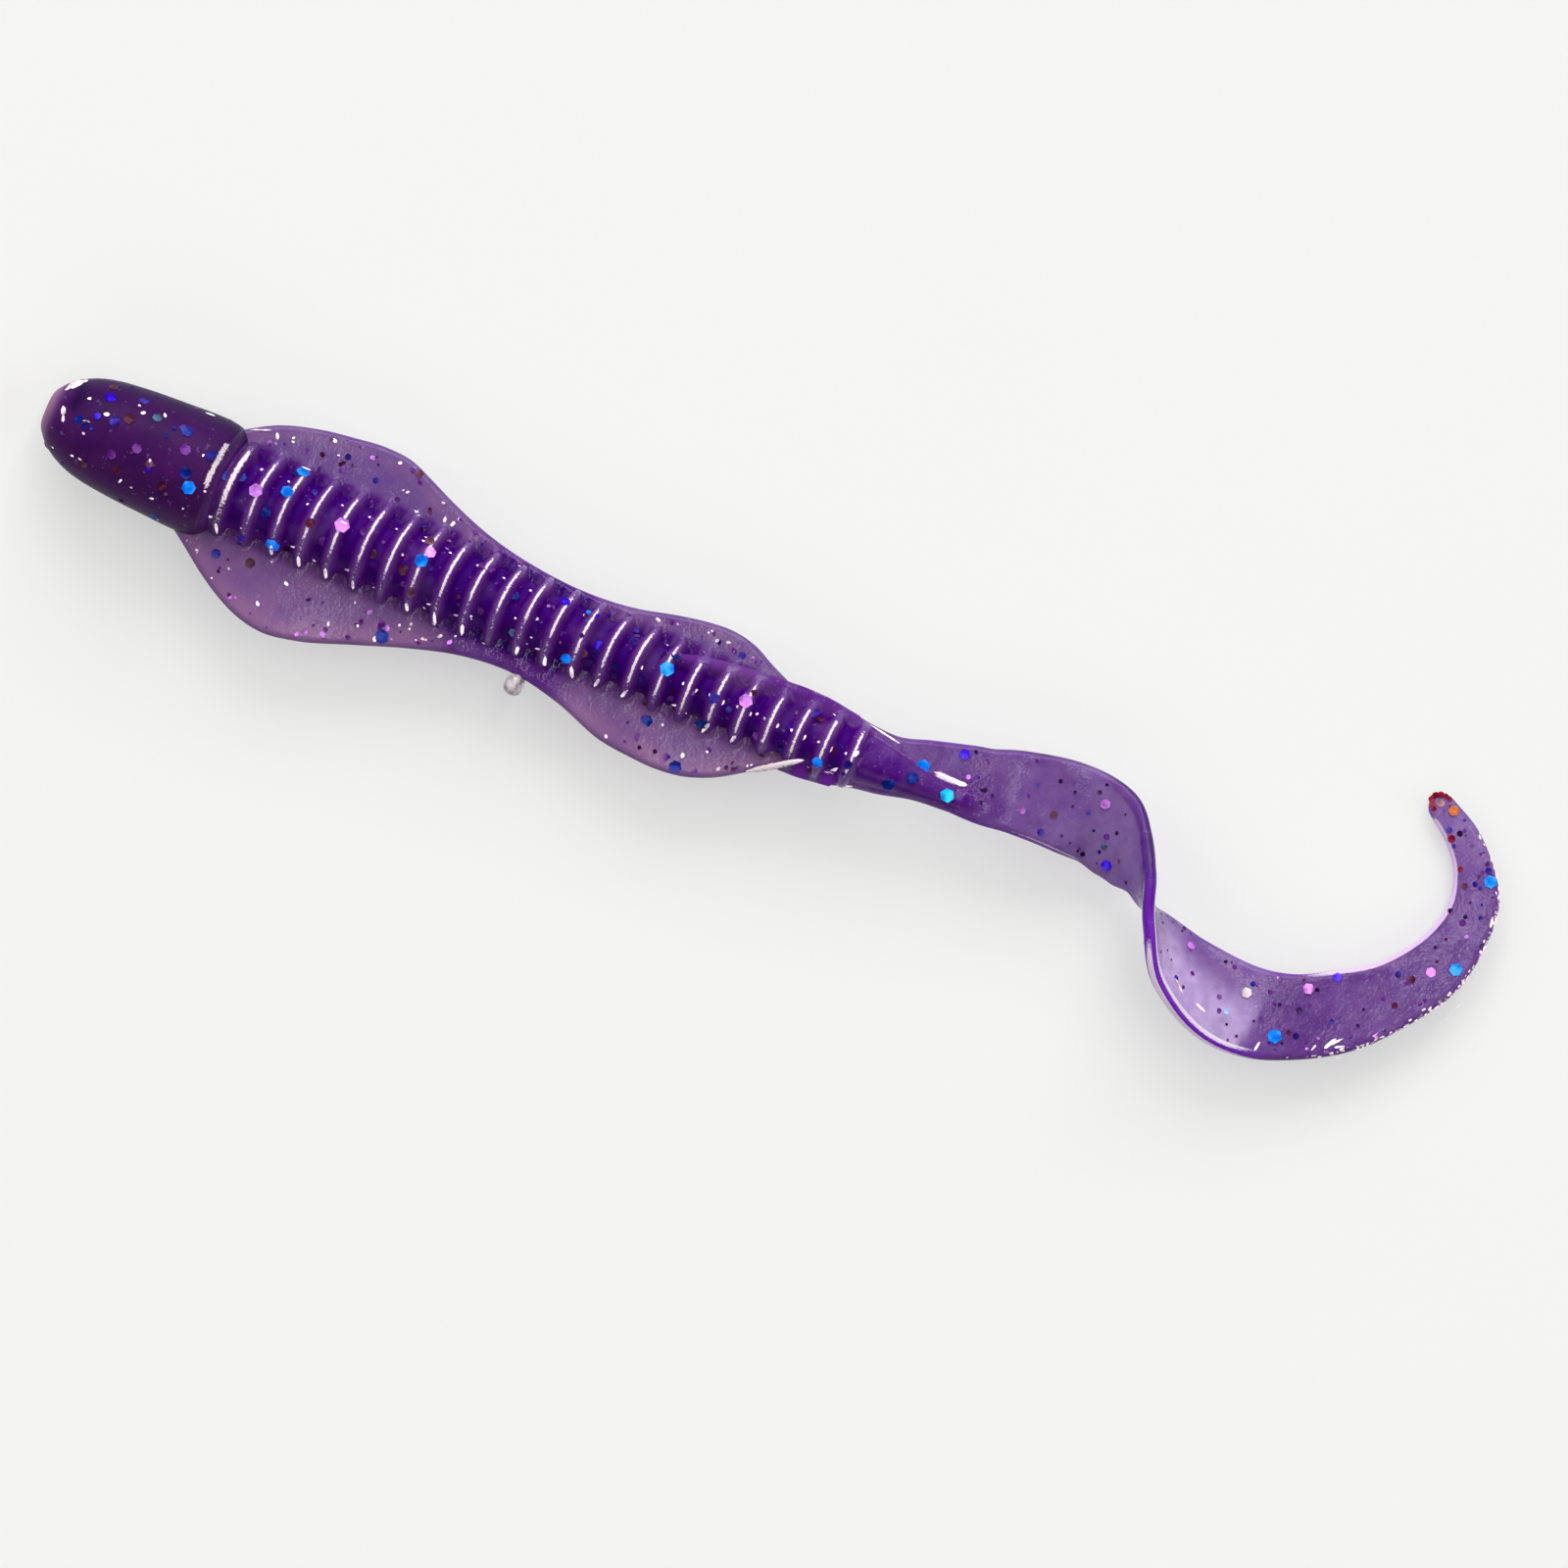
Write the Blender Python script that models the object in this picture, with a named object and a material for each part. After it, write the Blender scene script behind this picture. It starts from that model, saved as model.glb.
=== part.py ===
"""A ribbed soft plastic worm: round head, ribbed body, four side fins and a twisted ribbon tail.

+X runs from the nose to the tail, +Z is up and +Y is the right-hand side. The centre of the flat
nose face is the origin. All lengths below are in millimetres and become metres in loft().
"""

import math

import bmesh
import bpy
import numpy as np

MM = 0.001

# Head
NOSE_FACE_RADIUS = 0.8
HEAD_RADIUS = 3.56
HEAD_RIM_X = 10.0
HEAD_SEGMENTS = 28

# Ribs: short discs standing on a thinner core
FIRST_RIB_X = 11.4
RIB_PITCH = 1.67
RIB_DEPTH = 0.7
RIB_HALF_CREST = 0.2
RIB_HALF_FOOT = 0.42
RIB_CREST_RADIUS = ((11.0, 2.8), (24.0, 2.72), (31.0, 2.4), (36.0, 2.3), (44.0, 2.2), (50.0, 1.95))

# Which rib stands alone between two bending gaps, and how wide such a gap is
NECK_RIB = 0
WAIST_RIB = 13
REAR_RIB = 22
LAST_RIB = 23
HALF_GAP = 0.28
HEAD_GAP_X = FIRST_RIB_X - RIB_PITCH / 2 + 0.17

# Flat web along the sides of the front body, on which the front fins hinge
WEB_HALF_THICK = 0.4
WEB_RIGHT = ((12.5, 2.2), (14.0, 2.95), (25.0, 2.95), (29.0, 2.6), (32.0, 2.35))
WEB_LEFT = ((12.5, 2.2), (14.0, 2.95), (31.0, 2.95), (32.0, 2.4))

# Root of the tail blade on the rear body: it leaves the ribs rolled and lies flat at the tail
BLADE_HALF_THICK = 0.45
BLADE_REACH = ((37.5, 2.2), (40.3, 2.42), (42.0, 2.5), (47.0, 2.5), (49.0, 2.2), (50.5, 2.05))
BLADE_ROLL_DEG = ((38.0, 58.0), (40.3, 41.0), (42.0, 33.0), (44.8, 23.0), (47.0, 12.0), (50.5, 0.0))

# Tail cone inside the flat blade
CONE_RADIUS = ((50.3, 1.45), (53.0, 1.05), (56.0, 0.62))
CONE_RIGHT = ((49.2, 2.15), (50.6, 2.0), (51.8, 2.0), (53.6, 2.55), (56.0, 3.25))
CONE_LEFT = ((49.2, 2.1), (50.3, 1.8), (52.0, 1.5), (53.8, 1.05), (56.0, 0.85))
TAIL_ROOT_END = 56.0

# Ribbon: centre line x, y, z, twist in degrees about its length, and half width
RIBBON = (
    (56.0, 1.2, 0.0, 0.0, 2.05),
    (57.6, 1.37, 0.0, 0.0, 2.22),
    (59.4, 1.78, 0.0, 0.0, 2.42),
    (62.0, 2.1, -0.5, 3.0, 2.65),
    (64.4, 2.0, -0.85, 20.0, 2.7),
    (66.3, 1.2, -0.35, 42.0, 2.7),
    (67.9, -0.1, 0.5, 70.0, 2.7),
    (69.2, -1.85, 0.75, 103.0, 2.7),
    (71.6, -3.6, 0.1, 138.0, 2.7),
    (75.2, -4.45, -0.75, 170.0, 2.75),
    (78.7, -3.7, -1.1, 180.0, 2.55),
    (81.4, -2.1, -1.4, 180.0, 2.28),
    (83.5, -0.2, -1.7, 180.0, 2.0),
    (85.2, 2.6, -2.0, 180.0, 1.75),
    (85.7, 5.4, -2.3, 180.0, 1.45),
    (85.0, 7.7, -2.55, 180.0, 1.22),
    (83.6, 9.4, -2.7, 180.0, 0.95),
    (81.4, 10.85, -2.8, 180.0, 0.5),
)
RIBBON_HALF_THICK = 0.4
RIBBON_CUTS = [station / (len(RIBBON) - 1) for station in (0, 2.5, 4.05, 5.8, 7.7, 10.2, 12.4, 14.6, 17)]
RIBBON_NAMES = ("ribbon_1", "ribbon_2", "ribbon_3", "ribbon_4", "ribbon_5", "ribbon_6", "ribbon_7",
                "tail_tip")
RIBBON_HALF_GAP = 0.2

# Fins: the free edge of each, as x and distance from the centre line, and its hinged inner edge
FRONT_HINGE_Y = 3.1
REAR_HINGE_Y = 2.5
FIN_HINGE_GAP = 0.15
FIN_HALF_THICK = 0.38
FRONT_RIGHT_EDGE = ((12.4, 4.25), (14.7, 5.0), (18.6, 5.56), (20.3, 5.42), (22.4, 4.55), (24.7, 3.65))
FRONT_LEFT_EDGE = ((10.9, 4.6), (13.1, 6.0), (16.2, 6.9), (19.7, 6.1), (24.2, 4.45), (28.0, 3.6))
REAR_RIGHT_EDGE = ((35.6, 2.95), (37.5, 3.34), (40.6, 3.8), (42.3, 3.5), (43.6, 2.95))
REAR_LEFT_EDGE = ((34.6, 4.3), (36.6, 4.98), (39.8, 5.17), (43.1, 4.28), (45.0, 3.06))

# Clear nub beside the waist
NUB_CENTRE = (30.56, -4.0, 0.0)
NUB_RADIUS = 0.65


def along(pairs, x):
    """The value at x of a dimension given at a few places."""
    return float(np.interp(x, [p[0] for p in pairs], [p[1] for p in pairs]))


def smooth(points, t):
    """A point of the smooth curve through evenly numbered points, t from 0 to 1 (Catmull-Rom)."""
    pts = np.array(points, float)
    pts = np.vstack([2 * pts[0] - pts[1], pts, 2 * pts[-1] - pts[-2]])
    u = min(max(t, 0.0), 1.0) * (len(pts) - 3)
    i = min(int(u), len(pts) - 4)
    u -= i
    a, b, c, d = pts[i:i + 4]
    return 0.5 * (2 * b + (c - a) * u + (2 * a - 5 * b + 4 * c - d) * u**2 + (3 * b - a - 3 * c + d) * u**3)


def loft(name, rings, material):
    """One closed solid through a row of outlines, with a face at each end."""
    mesh = bpy.data.meshes.new(name)
    bm = bmesh.new()
    rows = [[bm.verts.new([float(v) * MM for v in p]) for p in ring] for ring in rings]
    count = len(rows[0])
    for near, far in zip(rows, rows[1:]):
        for i in range(count):
            j = (i + 1) % count
            bm.faces.new((near[i], near[j], far[j], far[i]))
    bm.faces.new(rows[0])
    bm.faces.new(rows[-1])
    bmesh.ops.recalc_face_normals(bm, faces=bm.faces)
    if bm.calc_volume(signed=True) < 0:
        bmesh.ops.reverse_faces(bm, faces=bm.faces)
    bm.to_mesh(mesh)
    bm.free()
    mesh.polygons.foreach_set("use_smooth", [True] * len(mesh.polygons))
    mesh.set_sharp_from_angle(angle=math.radians(35))
    mesh.materials.append(material)
    obj = bpy.data.objects.new(name, mesh)
    bpy.context.scene.collection.objects.link(obj)
    return obj


def plastic(name, colour, roughness, alpha=1.0):
    material = bpy.data.materials.new(name)
    material.use_nodes = True
    shader = material.node_tree.nodes["Principled BSDF"]
    shader.inputs["Base Color"].default_value = (*colour, 1.0)
    shader.inputs["Roughness"].default_value = roughness
    shader.inputs["Alpha"].default_value = alpha
    return material


def circle(x, radius, segments, centre=(0.0, 0.0)):
    turns = [2 * math.pi * i / segments for i in range(segments)]
    return [(x, centre[0] + radius * math.cos(a), centre[1] + radius * math.sin(a)) for a in turns]


def section(x, core, right, left, half_thick, roll_deg=0.0):
    """The outline across the body at x: a round core between two flat wings, rolled about +X."""
    root = half_thick + 0.07
    foot = math.sqrt(core**2 - root**2)
    shoulder = math.sqrt(core**2 - half_thick**2)
    lean = math.asin(root / core)
    arc = [lean + (math.pi - 2 * lean) * (i + 1) / 8 for i in range(7)]
    top = [(max(right, core), 0.0), (max(right - 0.15, shoulder), half_thick), (foot, root)]
    top += [(core * math.cos(a), core * math.sin(a)) for a in arc]
    top += [(-foot, root), (-max(left - 0.15, shoulder), half_thick), (-max(left, core), 0.0)]
    outline = top + [(y, -z) for y, z in reversed(top[1:-1])]
    c, s = math.cos(math.radians(roll_deg)), math.sin(math.radians(roll_deg))
    return [(x, y * c - z * s, y * s + z * c) for y, z in outline]


def rib_x(number):
    return FIRST_RIB_X + RIB_PITCH * number


def rib_stations(first, last, start, end):
    """x and core radius along a run of ribs, from the gap before it to the gap after it."""
    stations = [(start, along(RIB_CREST_RADIUS, start) - RIB_DEPTH)]
    for number in range(first, last + 1):
        for offset, drop in ((-RIB_HALF_FOOT, RIB_DEPTH), (-RIB_HALF_CREST, 0.0),
                             (RIB_HALF_CREST, 0.0), (RIB_HALF_FOOT, RIB_DEPTH)):
            x = rib_x(number) + offset
            stations.append((x, along(RIB_CREST_RADIUS, x) - drop))
    stations.append((end, along(RIB_CREST_RADIUS, end) - RIB_DEPTH))
    return stations


def before(number):
    """Middle of the gap before a rib."""
    return rib_x(number) - RIB_PITCH / 2


def after(number):
    return rib_x(number) + RIB_PITCH / 2


def add_head(material):
    nose = ((0.0, NOSE_FACE_RADIUS), (0.1, 1.07), (0.35, 1.42), (0.7, 1.83), (1.1, 2.18), (1.6, 2.5),
            (2.3, 2.8), (3.3, 3.05), (4.7, 3.23), (7.5, 3.42), (9.3, 3.54), (HEAD_RIM_X, HEAD_RADIUS), (10.2, 3.42),
            (10.3, 2.9), (HEAD_GAP_X - HALF_GAP, 2.05))
    loft("head", [circle(x, r, HEAD_SEGMENTS) for x, r in nose], material)


def add_ribbed(name, first, last, start, end, material):
    rings = []
    for x, core in rib_stations(first, last, start, end):
        roll = along(BLADE_ROLL_DEG, x)
        reach = along(BLADE_REACH, x) if x > BLADE_REACH[0][0] else core
        rings.append(section(x, core, reach, reach, BLADE_HALF_THICK, roll))
    loft(name, rings, material)


def add_front_body(material):
    start, end = after(NECK_RIB) + HALF_GAP, before(WAIST_RIB) - HALF_GAP
    rings = []
    for x, core in rib_stations(NECK_RIB + 1, WAIST_RIB - 1, start, end):
        rings.append(section(x, core, along(WEB_RIGHT, x), along(WEB_LEFT, x), WEB_HALF_THICK))
    loft("front_body", rings, material)


def add_tail_root(material):
    rings = []
    for x, core in rib_stations(LAST_RIB, LAST_RIB, after(REAR_RIB) + HALF_GAP, CONE_RADIUS[0][0]):
        roll = along(BLADE_ROLL_DEG, x)
        rings.append(section(x, core, along(CONE_RIGHT, x), along(CONE_LEFT, x), BLADE_HALF_THICK, roll))
    for x in np.linspace(CONE_RADIUS[0][0], TAIL_ROOT_END - RIBBON_HALF_GAP, 8)[1:]:
        core = along(CONE_RADIUS, x)
        rings.append(section(x, core, along(CONE_RIGHT, x), along(CONE_LEFT, x), RIBBON_HALF_THICK))
    loft("tail_root", rings, material)


def ribbon_place(t):
    """Centre, direction, width direction and half width of the ribbon at t."""
    x, y, z, twist, half = smooth(RIBBON, t)
    ahead = np.array(smooth(RIBBON, t + 0.004))[:3] - np.array(smooth(RIBBON, t - 0.004))[:3]
    ahead /= np.linalg.norm(ahead)
    level = np.cross((0.0, 0.0, 1.0), ahead)
    level /= np.linalg.norm(level)
    raised = np.cross(ahead, level)
    width = level * math.cos(math.radians(twist)) + raised * math.sin(math.radians(twist))
    return np.array((x, y, z)), ahead, width, half


def ribbon_ring(t, shift):
    centre, ahead, width, half = ribbon_place(t)
    across = np.cross(ahead, width)
    e = RIBBON_HALF_THICK * (1 - 0.2 * t)
    flat = max(half - 0.25, 0.15)
    outline = ((half, -0.4 * e), (half, 0.4 * e), (flat, e), (-flat, e), (-half, 0.4 * e),
               (-half, -0.4 * e), (-flat, -e), (flat, -e))
    return [centre + ahead * shift + width * a + across * b for a, b in outline]


def add_ribbon(material):
    for name, start, end in zip(RIBBON_NAMES, RIBBON_CUTS, RIBBON_CUTS[1:]):
        steps = np.linspace(start, end, 7)
        rings = [ribbon_ring(steps[0], RIBBON_HALF_GAP)]
        rings += [ribbon_ring(t, 0.0) for t in steps[1:-1]]
        rings.append(ribbon_ring(end, -RIBBON_HALF_GAP if end < 1.0 else 0.0))
        loft(name, rings, material)


def add_fin(name, edge, side, hinge_y, toe, material):
    """A flat lobe. side is +1 on the right; toe is how far its front tip runs past the hinge line."""
    inner_y = hinge_y + FIN_HINGE_GAP
    rings = []
    for t in np.linspace(0.0, 1.0, 15):
        x, y = smooth(edge, t)
        start = edge[0][0] + toe
        root_x = start + (edge[-1][0] - 0.3 - start) * t
        root_y = inner_y + (edge[0][1] - 0.25 - inner_y) * max(0.0, 1 - t / 0.12) * (toe > 0.35)
        inner, outer = np.array((root_x, root_y)), np.array((x, y))
        reach = max(np.linalg.norm(outer - inner), 0.3)
        way = (outer - inner) / np.linalg.norm(outer - inner)
        e = FIN_HALF_THICK
        outline = ((0.0, e), (reach * 0.5, 0.92 * e), (reach - 0.12, 0.75 * e), (reach, 0.0),
                   (reach - 0.12, -0.75 * e), (reach * 0.5, -0.92 * e), (0.0, -e))
        rings.append([(*(inner + way * a), b) for a, b in outline])
    loft(name, [[(x, side * y, z) for x, y, z in ring] for ring in rings], material)


def add_nub(material):
    x0, y0, z0 = NUB_CENTRE
    angles = [math.pi * (i + 1) / 7 for i in range(6)]
    rings = [circle(x0 - NUB_RADIUS * math.cos(a), NUB_RADIUS * math.sin(a), 12, (y0, z0)) for a in angles]
    loft("clear_nub", rings, material)


for old in list(bpy.data.objects):
    bpy.data.objects.remove(old, do_unlink=True)

add_head(plastic("head_plastisol", (0.075, 0.01, 0.11), 0.12))
add_ribbed("neck_rib", NECK_RIB, NECK_RIB, HEAD_GAP_X + HALF_GAP, after(NECK_RIB) - HALF_GAP,
           plastic("neck_plastisol", (0.07, 0.008, 0.16), 0.12))
add_front_body(plastic("front_body_plastisol", (0.07, 0.008, 0.18), 0.12))
add_ribbed("waist_rib", WAIST_RIB, WAIST_RIB, before(WAIST_RIB) + HALF_GAP, after(WAIST_RIB) - HALF_GAP,
           plastic("waist_plastisol", (0.06, 0.006, 0.18), 0.12))
add_ribbed("rear_body", WAIST_RIB + 1, REAR_RIB - 1, after(WAIST_RIB) + HALF_GAP,
           before(REAR_RIB) - HALF_GAP, plastic("rear_body_plastisol", (0.055, 0.005, 0.18), 0.12))
add_ribbed("rear_rib", REAR_RIB, REAR_RIB, before(REAR_RIB) + HALF_GAP, after(REAR_RIB) - HALF_GAP,
           plastic("rear_rib_plastisol", (0.05, 0.005, 0.18), 0.12))
add_tail_root(plastic("tail_root_plastisol", (0.06, 0.008, 0.18), 0.12))
add_ribbon(plastic("ribbon_plastisol", (0.16, 0.07, 0.3), 0.12))
thin = plastic("fin_plastisol", (0.17, 0.09, 0.27), 0.12)
add_fin("fin_front_right", FRONT_RIGHT_EDGE, 1, FRONT_HINGE_Y, 0.5, thin)
add_fin("fin_front_left", FRONT_LEFT_EDGE, -1, FRONT_HINGE_Y, 1.3, thin)
add_fin("fin_rear_right", REAR_RIGHT_EDGE, 1, REAR_HINGE_Y, 0.2, thin)
add_fin("fin_rear_left", REAR_LEFT_EDGE, -1, REAR_HINGE_Y, 0.2, thin)
add_nub(plastic("clear_plastic", (0.86, 0.78, 0.82), 0.05))
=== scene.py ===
import math
import random

import bpy
import numpy as np
from mathutils import Matrix, Vector


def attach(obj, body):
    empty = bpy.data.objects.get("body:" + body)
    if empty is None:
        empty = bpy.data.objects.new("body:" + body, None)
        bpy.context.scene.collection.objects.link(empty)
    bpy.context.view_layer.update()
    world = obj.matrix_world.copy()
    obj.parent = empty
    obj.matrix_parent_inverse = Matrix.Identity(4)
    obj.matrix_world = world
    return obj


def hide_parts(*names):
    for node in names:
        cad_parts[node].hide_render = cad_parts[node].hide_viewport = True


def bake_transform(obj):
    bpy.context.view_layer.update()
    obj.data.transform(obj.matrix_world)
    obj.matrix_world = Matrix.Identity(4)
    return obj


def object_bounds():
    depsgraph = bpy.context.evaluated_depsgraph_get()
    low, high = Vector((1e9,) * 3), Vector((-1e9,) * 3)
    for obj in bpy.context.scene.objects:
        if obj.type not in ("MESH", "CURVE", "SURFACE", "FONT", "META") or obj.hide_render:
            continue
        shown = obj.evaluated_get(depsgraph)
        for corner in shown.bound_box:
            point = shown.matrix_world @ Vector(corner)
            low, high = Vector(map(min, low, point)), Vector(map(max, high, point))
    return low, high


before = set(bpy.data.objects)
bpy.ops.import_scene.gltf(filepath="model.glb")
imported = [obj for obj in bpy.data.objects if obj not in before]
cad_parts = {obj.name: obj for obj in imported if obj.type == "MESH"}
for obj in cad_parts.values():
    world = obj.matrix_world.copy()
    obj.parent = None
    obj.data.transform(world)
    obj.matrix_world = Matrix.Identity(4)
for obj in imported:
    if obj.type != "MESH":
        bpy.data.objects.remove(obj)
cad_low, cad_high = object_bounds()

MM = 0.001
RING = 64  # points round the skin at each station
# where each stored tone stands: how deep the colour is, dark rim, painted shade, painted highlight, pinkness, no
# painted glare
DEEP, _, RIM, PAINTED_LIGHT, PAINTED_HIGHLIGHT, _, PINK, GLARE_FREE = range(8)

# ---------------------------------------------------------------- dimensions, in millimetres
HEAD_END, RIBS_START, RIBS_END = 10.3, 10.88, 50.2
# the side web is fixed to the body from the front fins' end to the rear fins' start, and splits at the waist
FRONT_FINS_END, WAIST, REAR_FINS_START = 27.0, 33.11, 34.8
# against x: radius of head and rib crests, reach and roll of the tail blade, then the cone in its root
HEAD = (
    (0.0, 0.72), (0.03, 0.9), (0.12, 1.14), (0.35, 1.48), (0.7, 1.88), (1.1, 2.2), (1.6, 2.5), (2.3, 2.8),
    (3.3, 3.05), (4.7, 3.23), (7.5, 3.42), (9.0, 3.5), (9.7, 3.5), (HEAD_END, 3.36))
FIRST_RIB, PITCH, DEPTH, RIBS, BOW = 11.4, 1.67, 0.72, 24, 0.45
CREST = ((10.5, 2.95), (14.0, 2.85), (24.0, 2.74), (31.0, 2.46), (36.0, 2.34), (44.0, 2.2), (50.0, 1.98))
REACH = ((37.5, 2.2), (40.3, 2.42), (42.0, 2.5), (47.0, 2.5), (49.2, 2.2), (50.5, 2.05))
ROLL = ((38.0, 58.0), (40.3, 41.0), (42.0, 33.0), (44.8, 23.0), (47.0, 12.0), (50.5, 0.0))
CONE = ((RIBS_END, 1.5), (51.6, 1.28), (53.0, 1.05), (54.6, 0.82), (56.0, 0.62))
CONE_RIGHT = ((49.2, 2.15), (50.6, 2.0), (51.8, 2.0), (53.6, 2.55), (56.0, 3.25))
CONE_LEFT = ((49.2, 2.1), (50.3, 1.8), (52.0, 1.5), (53.8, 1.05), (56.0, 0.85))
# centre line, twist in degrees and half width of the ribbon
RIBBON = (
    (56.0, 1.2, 0.0, 0.0, 2.05), (57.6, 1.37, 0.0, 0.0, 2.22), (59.4, 1.78, 0.0, 0.0, 2.42),
    (62.0, 2.1, -0.5, 3.0, 2.65), (64.4, 2.0, -0.85, 20.0, 2.7), (66.2, 1.1, -0.35, 42.0, 2.7),
    (67.75, -0.3, 0.5, 70.0, 2.7), (69.2, -1.85, 0.75, 103.0, 2.7), (71.6, -3.6, 0.1, 138.0, 2.7),
    (75.2, -4.45, -0.75, 170.0, 2.75), (78.7, -3.7, -1.1, 180.0, 2.55), (81.4, -2.1, -1.4, 180.0, 2.28),
    (83.5, -0.2, -1.7, 180.0, 2.0), (85.2, 2.6, -2.0, 180.0, 1.75), (85.7, 5.4, -2.3, 180.0, 1.45),
    (85.0, 7.7, -2.55, 180.0, 1.22), (83.55, 9.35, -2.7, 180.0, 0.98), (81.1, 10.95, -2.8, 180.0, 0.74))
RIBBON_CUTS = [s / (len(RIBBON) - 1) for s in (0, 2.5, 4.05, 5.8, 7.7, 10.2, 12.4, 14.6, 17)]
RIBBON_BODIES = ("tail_root", *(f"ribbon_{k}" for k in range(1, 8)), "tail_tip")
# free edge of the side web
RIGHT_EDGE = (
    (10.6, 3.2), (12.2, 4.17), (14.7, 5.0), (16.7, 5.34), (18.6, 5.56), (20.3, 5.42), (21.6, 4.92),
    (23.1, 4.28), (25.9, 3.3), (29.7, 2.62), (32.0, 2.5), (35.3, 2.8), (37.5, 3.34), (39.2, 3.67),
    (40.9, 3.78), (42.3, 3.5), (43.6, 2.89), (45.0, 2.3), (46.5, 1.6))
LEFT_EDGE = (
    (8.6, 3.0), (10.3, 4.17), (11.7, 5.17), (13.1, 6.0), (14.5, 6.6), (16.2, 6.9), (18.1, 6.6), (21.4, 5.45),
    (24.2, 4.45), (27.0, 3.67), (30.3, 3.4), (33.1, 3.9), (36.4, 4.95), (38.1, 5.12), (39.8, 5.17),
    (41.4, 4.95), (43.1, 4.28), (45.0, 3.06), (46.2, 2.4), (47.6, 1.2))
NUB, NUB_RADIUS, NUB_SIDES, NUB_ROWS = (30.56, -3.98, 0.0), 0.66, 24, 13
# centre line and radius of the seam where the rear left lobe ends, bright with a painted highlight along its top
SEAM = ((44.6, -3.25, 0.25, 0.05), (45.1, -2.9, 0.45, 0.17), (45.9, -2.35, 0.95, 0.2), (46.7, -1.8, 1.4, 0.18),
        (47.15, -1.5, 1.62, 0.13), (47.35, -1.38, 1.5, 0.03))
SEAM_SIDES = 16


# ---------------------------------------------------------------- shape helpers
def curve(points, x):
    """Smooth curve y(x) through points given by rising x."""
    px = np.array([p[0] for p in points], float)
    py = np.array([p[1] for p in points], float)
    slope = np.gradient(py, px)
    x = min(max(float(x), px[0]), px[-1])
    i = min(int(np.searchsorted(px, x, "right")) - 1, len(px) - 2)
    h = px[i + 1] - px[i]
    u = (x - px[i]) / h
    return float((2 * u**3 - 3 * u**2 + 1) * py[i] + (u**3 - 2 * u**2 + u) * h * slope[i]
                 + (3 * u**2 - 2 * u**3) * py[i + 1] + (u**3 - u**2) * h * slope[i + 1])


def smooth(points, t):
    """Smooth curve through evenly numbered points, t from 0 to 1."""
    pts = np.array(points, float)
    pts = np.vstack([2 * pts[0] - pts[1], pts, 2 * pts[-1] - pts[-2]])
    u = min(max(t, 0.0), 1.0) * (len(pts) - 3)
    i = min(int(u), len(pts) - 4)
    u -= i
    a, b, c, d = pts[i:i + 4]
    return 0.5 * (2 * b + (c - a) * u + (2 * a - 5 * b + 4 * c - d) * u**2 + (3 * b - a - 3 * c + d) * u**3)


def step(a, b, x):
    """Smooth rise from 0 at a to 1 at b."""
    u = np.clip((x - a) / (b - a), 0.0, 1.0)
    return u * u * (3 - 2 * u)


def outline(core, shift, right, left, half, soft, ends):
    """A round core joined to a flat blade: RING points (across, above), from the right tip over the top.
    The joint is rounder for a lower soft, and the points lie closer at the tips for a higher ends."""
    high, low = max(right, shift + core), -max(left, core - shift)
    a = (high + low) / 2 + (high - low) / 2 * np.cos(np.linspace(0, math.pi, 241))
    near = np.clip(np.minimum(right - a, a + left) / max(half, 1e-6), 0.0, 1.0)
    plate = half * np.sqrt(1 - (1 - near)**2)
    dome = np.sqrt(np.clip(core**2 - (a - shift)**2, 0.0, None))
    b = (plate**soft + dome**soft)**(1 / soft)
    along = np.concatenate([[0.0], np.cumsum(np.hypot(np.diff(a), np.diff(b)))])
    even = np.linspace(0, 1, RING // 2 + 1)
    even = along[-1] * ((1 - ends) * even + ends * (0.5 - 0.5 * np.cos(math.pi * even)))
    top = np.column_stack([np.interp(even, along, a), np.interp(even, along, b)])
    return np.vstack([top, (top * (1, -1))[-2:0:-1]])


def rib_off(x):
    """Distance to the nearest crest."""
    number = min(max(round((x - FIRST_RIB) / PITCH), 0), RIBS - 1)
    return abs(x - FIRST_RIB - number * PITCH)


def rib_radius(x):
    """Radius over the ribs at x, and how far into the groove x is (0 on a crest, 1 in a groove)."""
    off = rib_off(x)
    sink = float(step(0.09, 0.66, off)) * (0.35 if x < FIRST_RIB else 1.0)
    crown = 0.3 * min(off, 0.2)**2
    return curve(CREST, x) - DEPTH * sink * (1 - 0.25 * (x > 44)) - crown, sink


def bow(x, points):
    """How far towards the tail each point of a rib lies: the ribs lean back down both sides."""
    y, z = np.asarray(points)[..., 1], np.asarray(points)[..., 2]
    share = y / np.sqrt(np.maximum(y**2 + z**2, 1e-9))
    left = 1 - step(-0.35, 0.35, share)
    less_left = (0.42 + 0.26 * step(24.0, 32.0, x)) * left
    less_right = 0.35 * step(36.0, 42.0, x) * (1 - left)
    lean = BOW * share**2 * (1 - less_left - less_right) - 0.05
    return lean * step(8.6, 10.2, x) * (1 - step(47.0, 50.5, x))


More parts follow.
